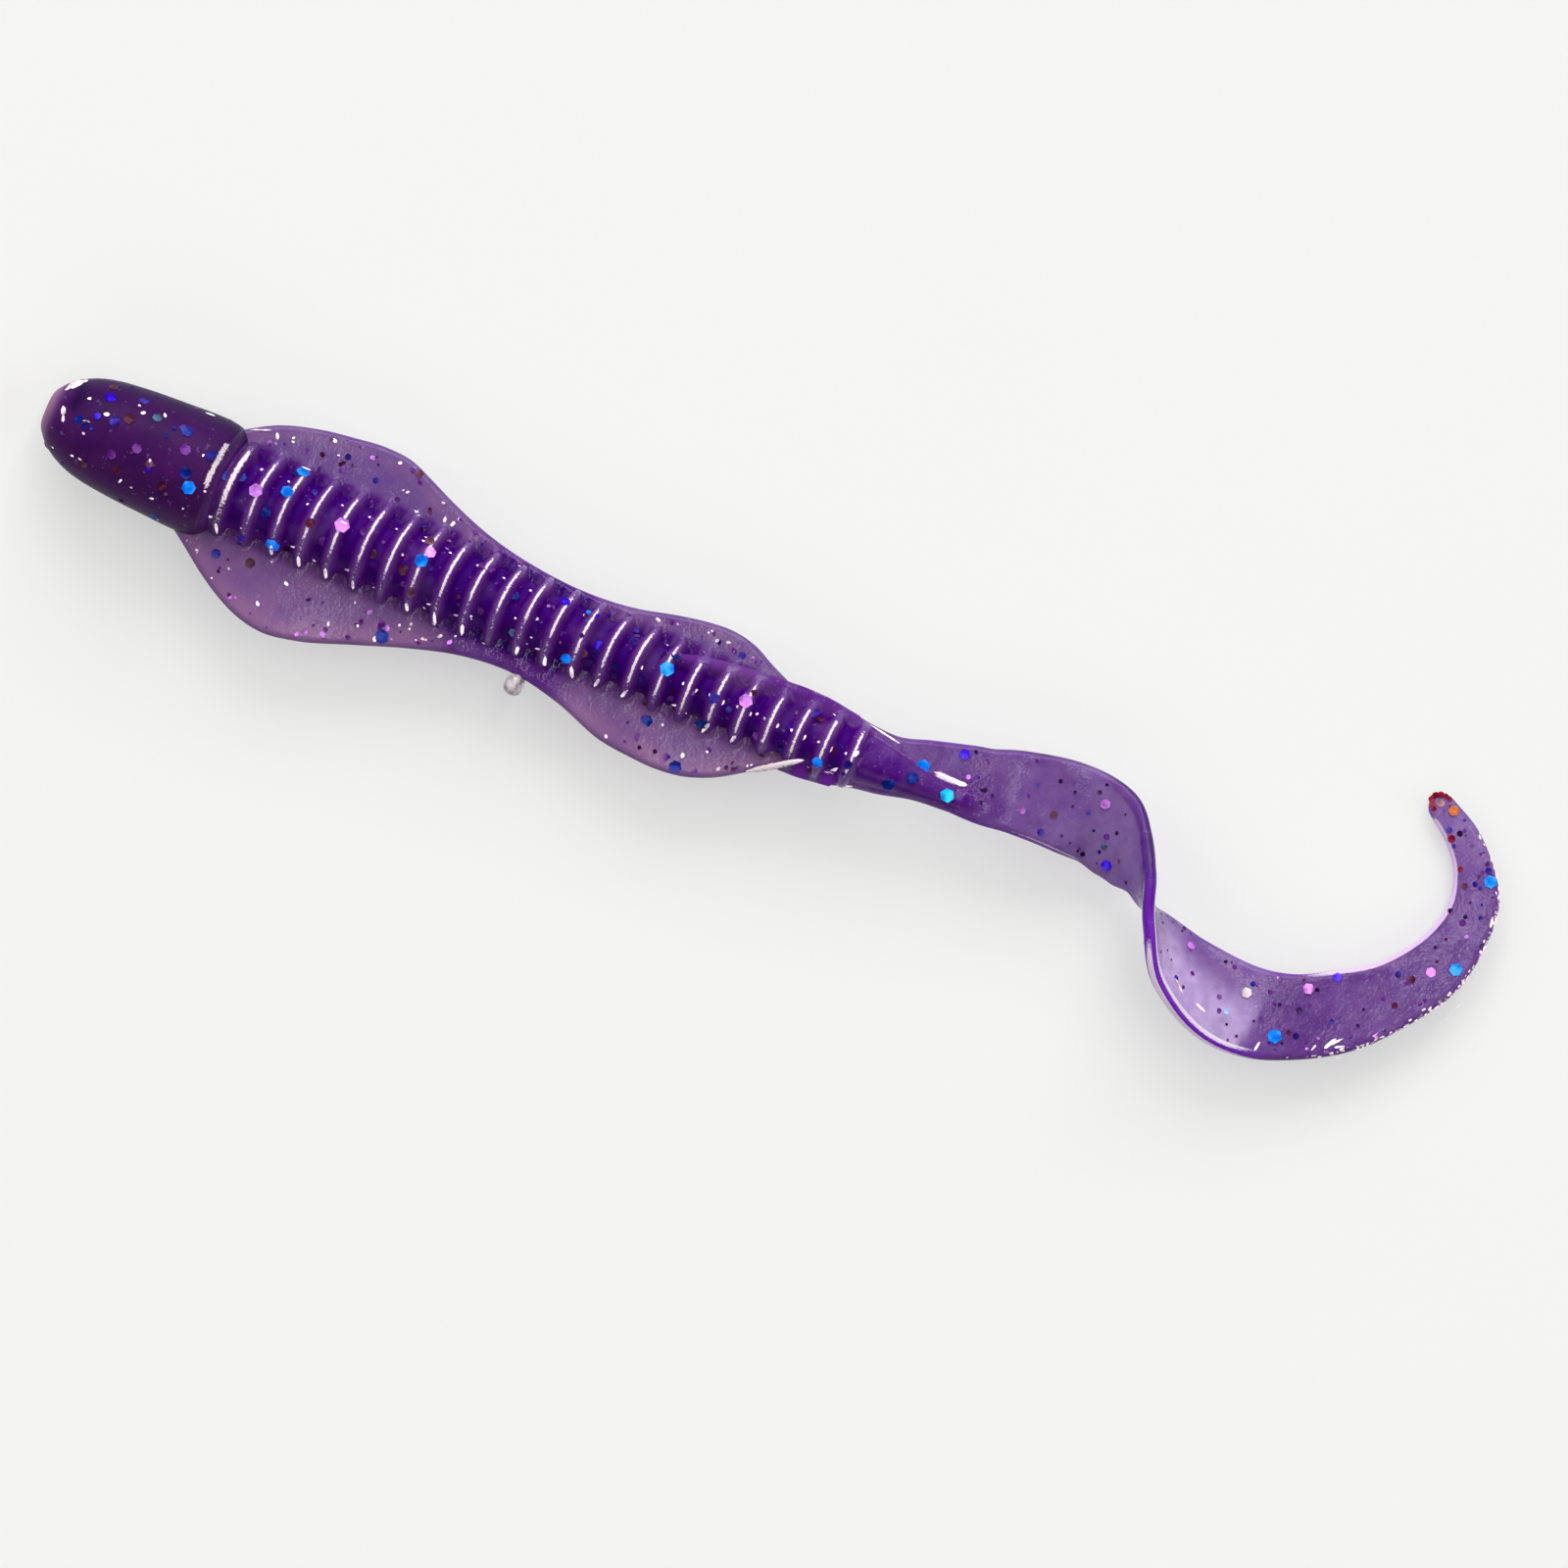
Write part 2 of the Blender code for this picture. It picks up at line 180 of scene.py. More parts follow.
def body_section(x):
    """(centre, width direction, raised direction, outline, (core radius, sink)) of the body at x."""
    right, left, half = 0.1, 0.1, 0.0
    if x <= HEAD_END:
        core, sink = curve(HEAD, x), 0.0
    elif x < RIBS_START:
        u = (x - HEAD_END) / 0.58
        core, sink = 3.36 - 0.56 * u**1.2, 0.5 * u
    elif x < RIBS_END:
        core, sink = rib_radius(x)
        if x > 37.6:
            right = left = curve(REACH, x)
            half = 0.45 * step(37.6, 39.5, x)
    else:
        core, sink, half = curve(CONE, x), 0.6, 0.42
    if x > 49.2:
        right, left = curve(CONE_RIGHT, x), curve(CONE_LEFT, x)
    roll = math.radians(float(np.interp(x, [p[0] for p in ROLL], [p[1] for p in ROLL])))
    c, s = math.cos(roll), math.sin(roll)
    shape = outline(core, 0.0, right, left, half, 5.0 if x < 50.0 else 3.0, 0.6 * step(RIBS_END, 55.0, x))
    return np.array((x, 0.0, 0.0)), np.array((0.0, c, s)), np.array((0.0, -s, c)), shape, (core, sink)


def ribbon_place(t):
    """(centre, direction ahead, width direction, half width) of the ribbon at t."""
    x, y, z, twist, half = smooth(RIBBON, t)
    ahead = smooth(RIBBON, t + 0.004)[:3] - smooth(RIBBON, t - 0.004)[:3]
    if t < 0.06:
        ahead = ahead * (t / 0.06) + np.array((1.0, 0.0, 0.0)) * np.linalg.norm(ahead) * (1 - t / 0.06)
    ahead /= np.linalg.norm(ahead)
    level = np.cross((0.0, 0.0, 1.0), ahead)
    level /= np.linalg.norm(level)
    raised = np.cross(ahead, level)
    turn = math.radians(twist)
    width = level * math.cos(turn) + raised * math.sin(turn)
    return np.array((x, y, z)), ahead, width, half


def ribbon_section(t):
    """The same five as body_section. Both edges are trimmed at the twist, and the tip is rounded."""
    centre, ahead, width, half = ribbon_place(t)
    thick = 0.42 * (1 - 0.22 * t)
    spine = 0.62 * (1 - step(0.0, 0.11, t))
    shift = -1.2 * (1 - step(0.2, 0.25, t))
    ripple = 0.06 * math.sin(t * 61.0) * step(0.5, 0.62, t) * (1 - step(0.93, 1.0, t))
    over = half + ripple - 0.4 * step(0.24, 0.32, t) * (1 - step(0.36, 0.46, t))
    under = half - 0.45 * step(0.27, 0.33, t) * (1 - step(0.34, 0.4, t))
    under -= 0.65 * step(0.31, 0.35, t) * (1 - 0.65 * step(0.4, 0.46, t)) * (1 - step(0.56, 0.64, t))
    shape = outline(max(spine, 0.02), shift, over, under, thick, 3.0, 0.6)
    tip = math.sqrt(max(1 - max((t - 0.985) / 0.015, 0.0)**2, 0.0))
    return centre, width, np.cross(ahead, width), shape * (max(tip, 0.12), max(tip, 0.3)), (spine, 0.0)


# ---------------------------------------------------------------- the skin as one long row of rings
stations = [("body", x) for x in (0.0, 0.02, 0.05, 0.1, 0.16, 0.22, 0.32, 0.42, 0.55, 0.8, 1.1, 1.5)]
stations += [("body", x) for x in np.arange(2.0, 10.0, 0.4)]
stations += [("body", x) for x in np.arange(10.0, 10.9, 0.075)]
offsets = (0.0, 0.045, 0.09, 0.14, 0.21, 0.3, 0.4, 0.5, 0.61, 0.72, PITCH / 2)
ribs = {FIRST_RIB + k * PITCH + side * off for k in range(RIBS) for off in offsets for side in (-1, 1)}
stations += [("body", x) for x in sorted(ribs) if 10.95 < x < RIBS_END]
stations += [("body", x) for x in np.linspace(50.25, 55.85, 26)]
stations += [("ribbon", t) for t in np.linspace(0.0, 0.98, 186)]
stations += [("ribbon", t) for t in (0.984, 0.988, 0.991, 0.994, 0.9965, 0.9985, 0.9996)]
rings, cores, sinks, places = [], [], [], []
for part, value in stations:
    section = body_section if part == "body" else ribbon_section
    centre, width, raised, shape, (core, sink) = section(value)
    ring = centre + shape[:, :1] * width + shape[:, 1:] * raised
    if part == "body":
        ring[:, 0] += bow(value, ring)
    rings.append(ring)
    cores.append(core)
    sinks.append(sink)
    places.append((centre, width, raised))
rings = np.array(rings)
COUNT = len(rings)


def at(part, value):
    """Ring number nearest to a place."""
    return min((i for i, s in enumerate(stations) if s[0] == part), key=lambda i: abs(stations[i][1] - value))


def normals_of(points, wrap=True):
    """Unit normals of a grid of points, outward for rings that run from +Y over the top."""
    along = np.gradient(points, axis=0)
    if wrap:
        across = np.roll(points, -1, axis=1) - np.roll(points, 1, axis=1)
    else:
        across = np.gradient(points, axis=1)
    n = np.cross(across, along)
    return n / np.maximum(np.linalg.norm(n, axis=2, keepdims=True), 1e-9)


ring_normals = normals_of(rings)


# ---------------------------------------------------------------- materials
def linear(r, g, b):
    """A colour as seen, 0 to 255, in scene values."""
    return tuple((v / 255 / 12.92 if v <= 10 else ((v / 255 + 0.055) / 1.055)**2.4) for v in (r, g, b)) + (1.0,)


def new_material(name):
    material = bpy.data.materials.new(name)
    material.use_nodes = True
    material.node_tree.nodes.clear()
    return material, material.node_tree.nodes, material.node_tree.links


def mix_colour(nodes, links, factor, a, b):
    """a and b are colours or sockets, factor a number or a socket."""
    node = nodes.new("ShaderNodeMix")
    node.data_type = "RGBA"
    for socket, value in ((node.inputs[0], factor), (node.inputs[6], a), (node.inputs[7], b)):
        if isinstance(value, bpy.types.NodeSocket):
            links.new(value, socket)
        else:
            socket.default_value = value
    return node.outputs[2]


def math_node(nodes, links, operation, a, b=0.0, clamp=False):
    node = nodes.new("ShaderNodeMath")
    node.operation, node.use_clamp = operation, clamp
    for socket, value in zip(node.inputs, (a, b)):
        if isinstance(value, bpy.types.NodeSocket):
            links.new(value, socket)
        else:
            socket.default_value = value
    return node.outputs[0]


def noise(nodes, links, scale, detail=3.0, rough=0.5):
    node = nodes.new("ShaderNodeTexNoise")
    node.inputs["Scale"].default_value = scale
    node.inputs["Detail"].default_value = detail
    node.inputs["Roughness"].default_value = rough
    links.new(nodes.new("ShaderNodeTexCoord").outputs["Object"], node.inputs["Vector"])
    return node.outputs["Fac"]


def ramp(nodes, links, factor, stops):
    node = nodes.new("ShaderNodeValToRGB")
    while len(node.color_ramp.elements) < len(stops):
        node.color_ramp.elements.new(0.5)
    for element, (place, colour) in zip(node.color_ramp.elements, stops):
        element.position, element.color = place, colour
    links.new(factor, node.inputs[0])
    return node.outputs[0]


def show(nodes, links, shader):
    links.new(shader.outputs[0], nodes.new("ShaderNodeOutputMaterial").inputs["Surface"])


def plastisol(name, see_through, ior, line=(250, 232, 238), pale=(118, 84, 148), rim_colour=(96, 36, 140),
              highlight_breakup=3.4):
    """Soft translucent plastic. tone holds depth of colour, head plum, dark rim and painted shade; edge holds
    the pale painted crest highlight, added roughness, pinkness and glare_free (1 less the painted milky glare)."""
    material, nodes, links = new_material(name)

    def attribute(title):
        node = nodes.new("ShaderNodeAttribute")
        node.attribute_name = title
        split = nodes.new("ShaderNodeSeparateColor")
        links.new(node.outputs["Color"], split.inputs[0])
        return (*split.outputs, node.outputs["Alpha"])

    def calc(operation, a, b=0.0, clamp=False):
        return math_node(nodes, links, operation, a, b, clamp)

    def swing(scale, amount, detail=3.0):
        return calc("MULTIPLY", calc("SUBTRACT", noise(nodes, links, scale, detail), 0.5), amount)

    deep, plum, rim, light = attribute("tone")
    crest, rough, pink, glare_free = attribute("edge")
    # the painted highlight colour, more lilac where pink
    tinted = mix_colour(nodes, links, pink, linear(*line), linear(216, 150, 255))
    deep = calc("ADD", calc("ADD", deep, swing(330.0, 0.5, 4.0)), swing(1500.0, 0.3), True)
    depths = ((0.0, linear(*pale)), (0.3, linear(104, 60, 140)), (0.55, linear(94, 36, 130)),
              (0.8, linear(76, 6, 122)), (1.0, linear(58, 0, 112)))
    body = ramp(nodes, links, deep, depths)
    pink = calc("MULTIPLY", calc("ADD", pink, swing(500.0, 0.9)), 0.8, True)
    body = mix_colour(nodes, links, pink, body, linear(166, 118, 158))
    patches = calc("ADD", 0.5, swing(420.0, 2.6), True)
    skin = mix_colour(nodes, links, patches, linear(58, 14, 78), linear(74, 22, 92))
    body = mix_colour(nodes, links, plum, body, skin)
    body = mix_colour(nodes, links, rim, body, linear(*rim_colour))
    fine = noise(nodes, links, 2600.0, 2.0, 0.7)
    specks = calc("MULTIPLY", calc("GREATER_THAN", fine, 0.67), 0.2)
    body = mix_colour(nodes, links, specks, body, linear(176, 140, 205))
    # painted reflection: the milky glare, mixed in where glare_free is below 1
    painted_glare = calc("ADD", 0.9, swing(1300.0, 1.1, 4.0))
    painted_glare = calc("MULTIPLY", calc("SUBTRACT", 1.0, glare_free, True), painted_glare, True)
    body = mix_colour(nodes, links, painted_glare, body, linear(208, 180, 234))
    # painted highlight: the line on the crests, broken into grains by fine noise
    uneven = calc("MULTIPLY", calc("SUBTRACT", noise(nodes, links, 8500.0, 2.0, 0.6), 0.5), highlight_breakup)
    level = calc("SUBTRACT", calc("MULTIPLY", crest, 1.8 - 0.1 * highlight_breakup), calc("ADD", 0.6, uneven))
    broken = calc("MULTIPLY", calc("MULTIPLY", level, 1.9, True), calc("MULTIPLY", crest, 5.0, True))
    body = mix_colour(nodes, links, broken, body, tinted)
    # painted shade: towards a dark plum where the painted light value is below 1
    body = mix_colour(nodes, links, calc("SUBTRACT", 1.0, light, True), body, linear(28, 2, 58))
    shader = nodes.new("ShaderNodeBsdfPrincipled")
    links.new(body, shader.inputs["Base Color"])
    links.new(calc("ADD", calc("ADD", 0.1, rough), swing(1100.0, 0.08), True), shader.inputs["Roughness"])
    shader.inputs["IOR"].default_value = ior
    grit = calc("MULTIPLY", noise(nodes, links, 5600.0, 2.0), 0.4)
    height = calc("ADD", noise(nodes, links, 900.0, 3.0, 0.55), grit)
    bump = nodes.new("ShaderNodeBump")
    bump.inputs["Strength"].default_value = 0.4
    bump.inputs["Distance"].default_value = 0.0001
    links.new(height, bump.inputs["Height"])
    links.new(bump.outputs["Normal"], shader.inputs["Normal"])
    if see_through:
        solid, shader = shader, nodes.new("ShaderNodeMixShader")
        clear = nodes.new("ShaderNodeBsdfTransparent")
        clear.inputs["Color"].default_value = (0.5, 0.36, 0.68, 1.0)
        shader.inputs[0].default_value = 1.0 - see_through
        links.new(clear.outputs[0], shader.inputs[1])
        links.new(solid.outputs[0], shader.inputs[2])
    show(nodes, links, shader)
    return material


def foil(name, colour, glow, metallic, roughness):
    """Glitter film: one colour with an uneven sheen across each flake."""
    material, nodes, links = new_material(name)
    shader = nodes.new("ShaderNodeBsdfPrincipled")
    sheen = noise(nodes, links, 1500.0, 2.0)
    dark = tuple(0.45 * c for c in colour[:3]) + (1.0,)
    bright = tuple(min(1.35 * c + 0.04, 1.0) for c in colour[:3]) + (1.0,)
    tint = ramp(nodes, links, sheen, ((0.36, dark), (0.5, colour), (0.64, bright)))
    links.new(tint, shader.inputs["Base Color"])
    links.new(tint, shader.inputs["Emission Color"])
    shader.inputs["Emission Strength"].default_value = glow
    shader.inputs["Metallic"].default_value = metallic
    shader.inputs["Roughness"].default_value = roughness
    shader.inputs["IOR"].default_value = 1.15
    show(nodes, links, shader)
    return material


HEAD_SKIN = plastisol("plastisol_head", 0.0, 1.15)
BODY = plastisol("plastisol_body", 0.0, 1.3)
# the groove's brighter rim colour is painted light on the groove ends that face away from the lamps
GROOVE = plastisol("plastisol_groove", 0.0, 1.1, rim_colour=(128, 44, 176))
THIN = plastisol("plastisol_thin", 0.12, 1.3)
# the ribbon's painted highlight colour, palest colour, rim colour and how much its painted highlights break up
RIBBON_SKIN = plastisol("plastisol_ribbon", 0.12, 1.27, (250, 234, 252), (142, 106, 174), (122, 28, 194), 0.6)
MATT = (0.0, 0.0, 0.4)
# colour as seen, then glow (painted light that makes a film look lit), metallic and roughness
FOIL_LOOKS = {
    "azure": (0, 122, 255, 0.35, 0.2, 0.22), "navy": (6, 36, 138, *MATT),
    "indigo": (52, 4, 205, 0.15, 0.1, 0.22), "pink": (196, 120, 222, 0.12, 0.2, 0.22),
    "lilac": (102, 36, 136, *MATT), "dusk": (42, 22, 138, *MATT), "copper": (104, 60, 80, *MATT),
    "red": (80, 12, 50, *MATT), "teal": (70, 104, 132, *MATT), "cyan": (0, 172, 240, 0.35, 0.2, 0.22),
    "sky": (140, 184, 246, 0.1, 0.0, 0.4), "cream": (222, 204, 214, *MATT), "amber": (214, 116, 60, *MATT),
    "tan": (176, 122, 130, *MATT), "ruby": (136, 4, 38, 0.0, 0.0, 0.3), "pepper": (46, 14, 72, *MATT),
    "spark": (250, 230, 240, 0.5, 0.1, 0.22)}
FOILS = {name: foil("foil_" + name, linear(*look[:3]), *look[3:]) for name, look in FOIL_LOOKS.items()}


# ---------------------------------------------------------------- mesh building
def make_object(name, points, faces, normals, tones, materials, slots):
    mesh = bpy.data.meshes.new(name)
    mesh.from_pydata((np.asarray(points) * MM).tolist(), [], faces)
    mesh.polygons.foreach_set("use_smooth", [True] * len(mesh.polygons))
    for material in materials:
        mesh.materials.append(material)
    if slots is not None:
        mesh.polygons.foreach_set("material_index", slots)
    if tones is not None:
        for title, values in (("tone", tones[:, :4]), ("edge", tones[:, 4:])):
            layer = mesh.color_attributes.new(title, "FLOAT_COLOR", "POINT")
            layer.data.foreach_set("color", np.ascontiguousarray(values, np.float32).ravel())
    mesh.update()
    mesh.normals_split_custom_set_from_vertices(np.asarray(normals).tolist())
    obj = bpy.data.objects.new(name, mesh)
    bpy.context.scene.collection.objects.link(obj)
    return obj


def grid_faces(rows, columns, wrap, first):
    faces = []
    for i in range(rows - 1):
        for j in range(columns if wrap else columns - 1):
            k = (j + 1) % columns
            a, b = first + i * columns, first + (i + 1) * columns
            faces.append((a + j, a + k, b + k, b + j))
    return faces


class Piece:
    """Vertices, faces, normals and tones gathered for one object."""

    def __init__(self):
        self.points, self.faces, self.normals, self.tones = [], [], [], []

    def grid(self, points, normals, tones, wrap):
        first = sum(len(p) for p in self.points)
        rows, columns = points.shape[:2]
        self.points.append(points.reshape(-1, 3))
        self.normals.append(normals.reshape(-1, 3))
        self.tones.append(tones.reshape(-1, 8))
        self.faces += grid_faces(rows, columns, wrap, first)
        return first

    def cap(self, first, columns, reverse):
        order = list(range(first, first + columns))
        self.faces.append(tuple(order[::-1] if reverse else order))

    def tube(self, points, tones):
        """A grid that closes round itself, capped at both ends."""
        rows, columns = points.shape[:2]
        first = self.grid(points, normals_of(points), tones, True)
        self.cap(first, columns, True)
        self.cap(first + (rows - 1) * columns, columns, False)

    def build(self, name, materials, slots=None):
        points, normals, tones = (np.vstack(v) for v in (self.points, self.normals, self.tones))
        return make_object(name, points, self.faces, normals, tones, materials, slots)


def blank_tones(*shape):
    """Tones of plain plastic: fully lit, with no painted shade and no painted glare."""
    tones = np.zeros((*shape, 8))
    tones[..., PAINTED_LIGHT] = tones[..., GLARE_FREE] = 1.0
    return tones


def glint(points, top):
    """The long wet highlight where the cone runs out into the flat tail."""
    x, y = points[:, 0] - 55.35, points[:, 1] - 0.9
    return 0.9 * np.exp(-(x / 0.95)**4 - (y / (0.2 - 0.05 * x))**2) * top


def tone_head(x, points, radius, top, tones):
    deep, plum, _, light, crest, rough, pink, _ = tones
    y = points[:, 1]
    bare = 1 - step(0.1, 0.95, x)
    plum[:] = 0.97 * (1 - 0.4 * step(10.2, 10.8, x)) * (1 - 0.75 * bare)
    deep[:] = 0.8 - 0.35 * step(HEAD_END, 10.8, x)
    pink[:] = 1.25 * bare
    # painted shade: darker at both sides and over the far side of the top; also darker in a spot behind the nose
    light[:] = 1 - (0.5 - 0.15 * (y < 0)) * step(0.74, 1.0, np.abs(y) / radius) * step(0.6, 2.0, x)
    light[:] -= 0.32 * step(-0.9, 2.2, y) * top * step(0.8, 2.0, x)
    light[:] -= 0.75 * np.exp(-((x - 1.5) / 0.42)**2) * step(0.25, 0.6, y) * (1 - step(1.9, 2.4, y)) * top
    # painted highlight: the bright line on the rim behind the head
    line = step(9.98, 10.12, x) * (1 - step(HEAD_END, 10.42, x))
    crest[:] = line * step(-0.65, -0.35, y) * (1 - step(1.95, 2.4, y)) * top
    rough[:] = 0.3 * (1 - crest)


def tone_ribs(x, points, sink, tones):
    deep, plum, rim, _, crest, rough, _, _ = tones
    y, side, reach = points[:, 1], np.abs(points[:, 1]), curve(CREST, x)
    deep[:] = (0.36 + 0.64 * sink) * (1 - 0.75 * step(0.8 * reach, 1.08 * reach, side))
    plum[:] = 0.72 * (1 - step(10.9, 12.2, x))
    # painted highlight: the pale line on each crest, on the top only, wider on the first rib and broken up towards
    # its left end
    wider = 0.06 * (x < 12.0)
    line = (1 - step(0.03 + wider, 0.125 + wider, rib_off(x))) * step(-0.2, 0.5, points[:, 2])
    crest[:] = line * (1 - 0.9 * step(0.66 * reach, 0.9 * reach, side))
    start = 0.27 - 0.22 * np.exp(-((x - 28.6) / 3.2)**4) + 0.25 * step(33.0, 38.0, x)
    crest[:] *= 1 - 0.62 * step(start, start + 0.17, -y / reach)
    crest[:] *= 1 - step(37.0, 40.0, x) * step(1.25, 1.6, y)
    # painted light: on the left side the groove ends, which face away from the lamps, take the brighter rim colour
    rim[:] = 0.85 * sink * step(0.55, 0.8, -y / reach)
    rough[:] = 0.35 * sink


def tone_cone(x, points, across, core, top, tones):
    deep, _, rim, _, crest, rough, _, _ = tones
    deep[:] = 1 - 0.95 * step(0.75 * core, core + 0.5, np.abs(points[:, 1]))
    deep[:] *= 0.82 - 0.27 * step(52.0, 56.0, x)
    deep[:] = np.maximum(deep, 0.24 * step(50.6, 52.0, x))
    rim[:] = 0.4 * step(0.9, 1.0, np.abs(across) / np.abs(across).max())
    crest[:] = glint(points, top)
    rough[:] = 0.12


def tone_blade(x, points, across, core, tones):
    """The rolled blade beside the core, over the last ribs."""
    deep, crest = tones[DEEP], tones[PAINTED_HIGHLIGHT]
    wing = step(0.95, 1.15, np.abs(across) / max(core, 0.1))
    # painted light: paler on the left side, which faces away from the lamps
    flat = 0.52 - 0.15 * step(47.0, 51.0, x) - 0.15 * (points[:, 1] < 0)
    deep[:] = np.where(wing > 0, np.maximum(deep * (1 - wing), wing * flat), deep)
    crest[:] *= 1 - wing


def tone_ribbon(t, points, across, top, facing, tones):
    deep, _, rim, light, crest, _, pink, glare_free = tones
    share = across / max(np.abs(across).max(), 0.1)
    gap = np.where(across > 0, across.max() - across, across - across.min())
    spine = (1 - step(0.0, 0.12, t)) * np.exp(-((across + 1.2) / 0.8)**2)
    fold = step(0.12, 0.24, t) * (1 - step(0.33, 0.4, t))
    strip = step(0.33, 0.38, t) * (1 - step(0.53, 0.58, t)) * (share > 0)
    band = step(0.19, 0.27, t) * (1 - step(0.36, 0.42, t)) * step(0.7, 0.88, share)
    before = 1 - step(0.38, 0.43, t)
    # painted light: paler where the sheet rises to the twist and tilts away from the lamps, with a dark band
    # beside the edge that passes over it
    deep[:] = 0.24 - 0.15 * fold + 0.4 * spine - 0.2 * step(0.82, 0.95, t)
    deep[:] += 0.7 * band + 0.5 * strip * before
    light[:] = 1 - 0.45 * step(0.12, 0.02, gap) * (share > 0) * (1 - strip)
    rim[:] = 0.6 * step(0.2, 0.02, gap) * (share < 0) + strip * step(0.5, 0.4, gap) * (1 - 0.6 * before)
    rim[:] += 0.1 * band + 0.3 * step(0.29, 0.34, t) * (1 - step(0.38, 0.44, t)) * (share < 0.7)
    # painted highlights: bright lines on both sides of the edge over the twist, on the first lower edge and on the
    # inner edge of the curl
    inner = step(0.54, 0.68, t) * np.exp(-((gap - 0.1) / 0.15)**2) * (share < 0) * (1 - step(0.97, 0.99, t))
    over = strip * (np.exp(-((gap - 0.44) / 0.13)**2) * top * step(0.335, 0.37, t)
                    + step(0.08 + 0.1 * step(0.44, 0.53, t), 0.01, gap) * step(0.4, 0.45, t))
    low = 0.62 * (1 - step(0.22, 0.3, t)) * np.exp(-((gap - 0.2) / 0.05)**2) * (share < 0)
    crest[:] = np.clip(inner + over + low + glint(points, top), 0, 1)
    rim[:] = np.clip(rim * (1 - 0.9 * inner), 0, 1)
    pink[:] = inner * (0.65 - 0.35 * np.exp(-((gap - 0.1) / 0.06)**2))
    # painted reflection: milky glare in the curl just past the twist, on the face turned up
    glare = step(0.4, 0.45, t) * (1 - step(0.547, 0.558, t + 0.012 * share))
    glare = glare * step(0.42, 0.56, gap + 9 * (share < 0))
    glare_free[:] = 1 - glare * (0.14 + 0.78 * step(-0.5, 0.3, share + 0.25 * step(0.47, 0.42, t))) * facing
    # painted glare: a faint milky lift over the fold and near the tip
    glare_free[:] -= 0.06 * fold + 0.06 * step(0.82, 0.95, t)


def ring_tones(i):
    """For each point of ring i: deep, plum, rim, painted light and shade, painted highlight line, roughness, pink
    and freedom from painted glare.
    """
    part, x = stations[i]
    centre, width, raised = places[i]
    points = rings[i]
    across = (points - centre) @ width
    top = points[:, 2] > centre[2]
    values = blank_tones(RING)
    if part == "ribbon":
        tone_ribbon(x, points, across, top, (points - centre) @ raised * raised[2] > 0, values.T)
    elif x <= RIBS_START:
        tone_head(x, points, cores[i], top, values.T)
    elif x < RIBS_END:
        tone_ribs(x, points, sinks[i], values.T)
    else:
        tone_cone(x, points, across, cores[i], top, values.T)
    if part == "body" and 38.3 < x <= 51.5:
        tone_blade(x, points, across, cores[i], values.T)
    return values


all_tones = np.array([ring_tones(i) for i in range(COUNT)])


def add_skin(piece, start, end):
    first = piece.grid(rings[start:end + 1], ring_normals[start:end + 1], all_tones[start:end + 1], True)
    if start == 0:
        piece.cap(first, RING, True)
    if end == COUNT - 1:
        piece.cap(first + (end - start) * RING, RING, False)


def fin_lift(x, side, y):
    """How far the web waves above or below the middle, y from the body's axis."""
    return 0.1 * math.sin(x * 0.55 + side) * np.clip((y - 2.5) / 3.0, 0, 1)


def fin_grid(edge, side, x0, x1):
    """A thin web from its root inside the body out to its free edge, top and bottom in one strip."""
    root, half = 1.3, 0.36
    rows, tones = [], []
    for x in np.linspace(x0, x1, max(int((x1 - x0) / (PITCH / 10)), 4)):
        rim = max(curve(edge, x), root + 0.3)
        v = root + np.concatenate([np.linspace(0, 1, 19)[:-1] * (rim - 0.5 - root),
                                   rim - root - 0.5 + 0.5 * np.sin(np.linspace(0, math.pi / 2, 8))])
        left = rim - v
        reach = curve(CREST, x)
        groove = step(0.12, 0.5, rib_off(x - 0.1))
        thick = half * np.sqrt(np.clip(1 - (1 - np.clip(left / half, 0, 1))**2, 0, 1))
        thick += 0.14 * np.exp(-((v - 0.8 * reach) / 0.5)**2) * (1 - groove)
        lift = fin_lift(x, side, v)
        top = np.column_stack([np.full_like(v, x), side * v, thick + lift])
        low = np.column_stack([np.full_like(v, x), side * v, lift - thick])[-2::-1]
        rows.append(np.vstack([top, low]))
        across = np.concatenate([v, v[-2::-1]])
        tone = blank_tones(len(across))
        under_body = 1 - step(reach - 0.3, reach + 0.1 + 0.2 * groove, across)
        waist = math.exp(-((x - 29.6) / 4.3)**4)
        # painted light: the groove ends under the left web, which face away from the key lamp, are kept paler
        tone[:, DEEP] = (0.3 + (0.4 if side > 0 else 0.25) * groove) * under_body + 0.04
        tone[:, DEEP] += 0.45 * waist
        tone[:, RIM] = 0.5 * step(0.12, 0.03, rim - across)
        near_edge = 0.45 * np.exp(-((rim - across - 0.6) / 0.6)**2)
        tone[:, PINK] = (near_edge + (0.3 if side < 0 else -0.15)) * (1 - waist)
        tones.append(tone)
    points, tones = np.array(rows), np.array(tones)
    if side > 0:
        points, tones = points[:, ::-1], tones[:, ::-1]
    return points, normals_of(points, wrap=False), tones


# ---------------------------------------------------------------- glitter
random.seed(20)
PALETTE = list(FOILS)
glitter = {}


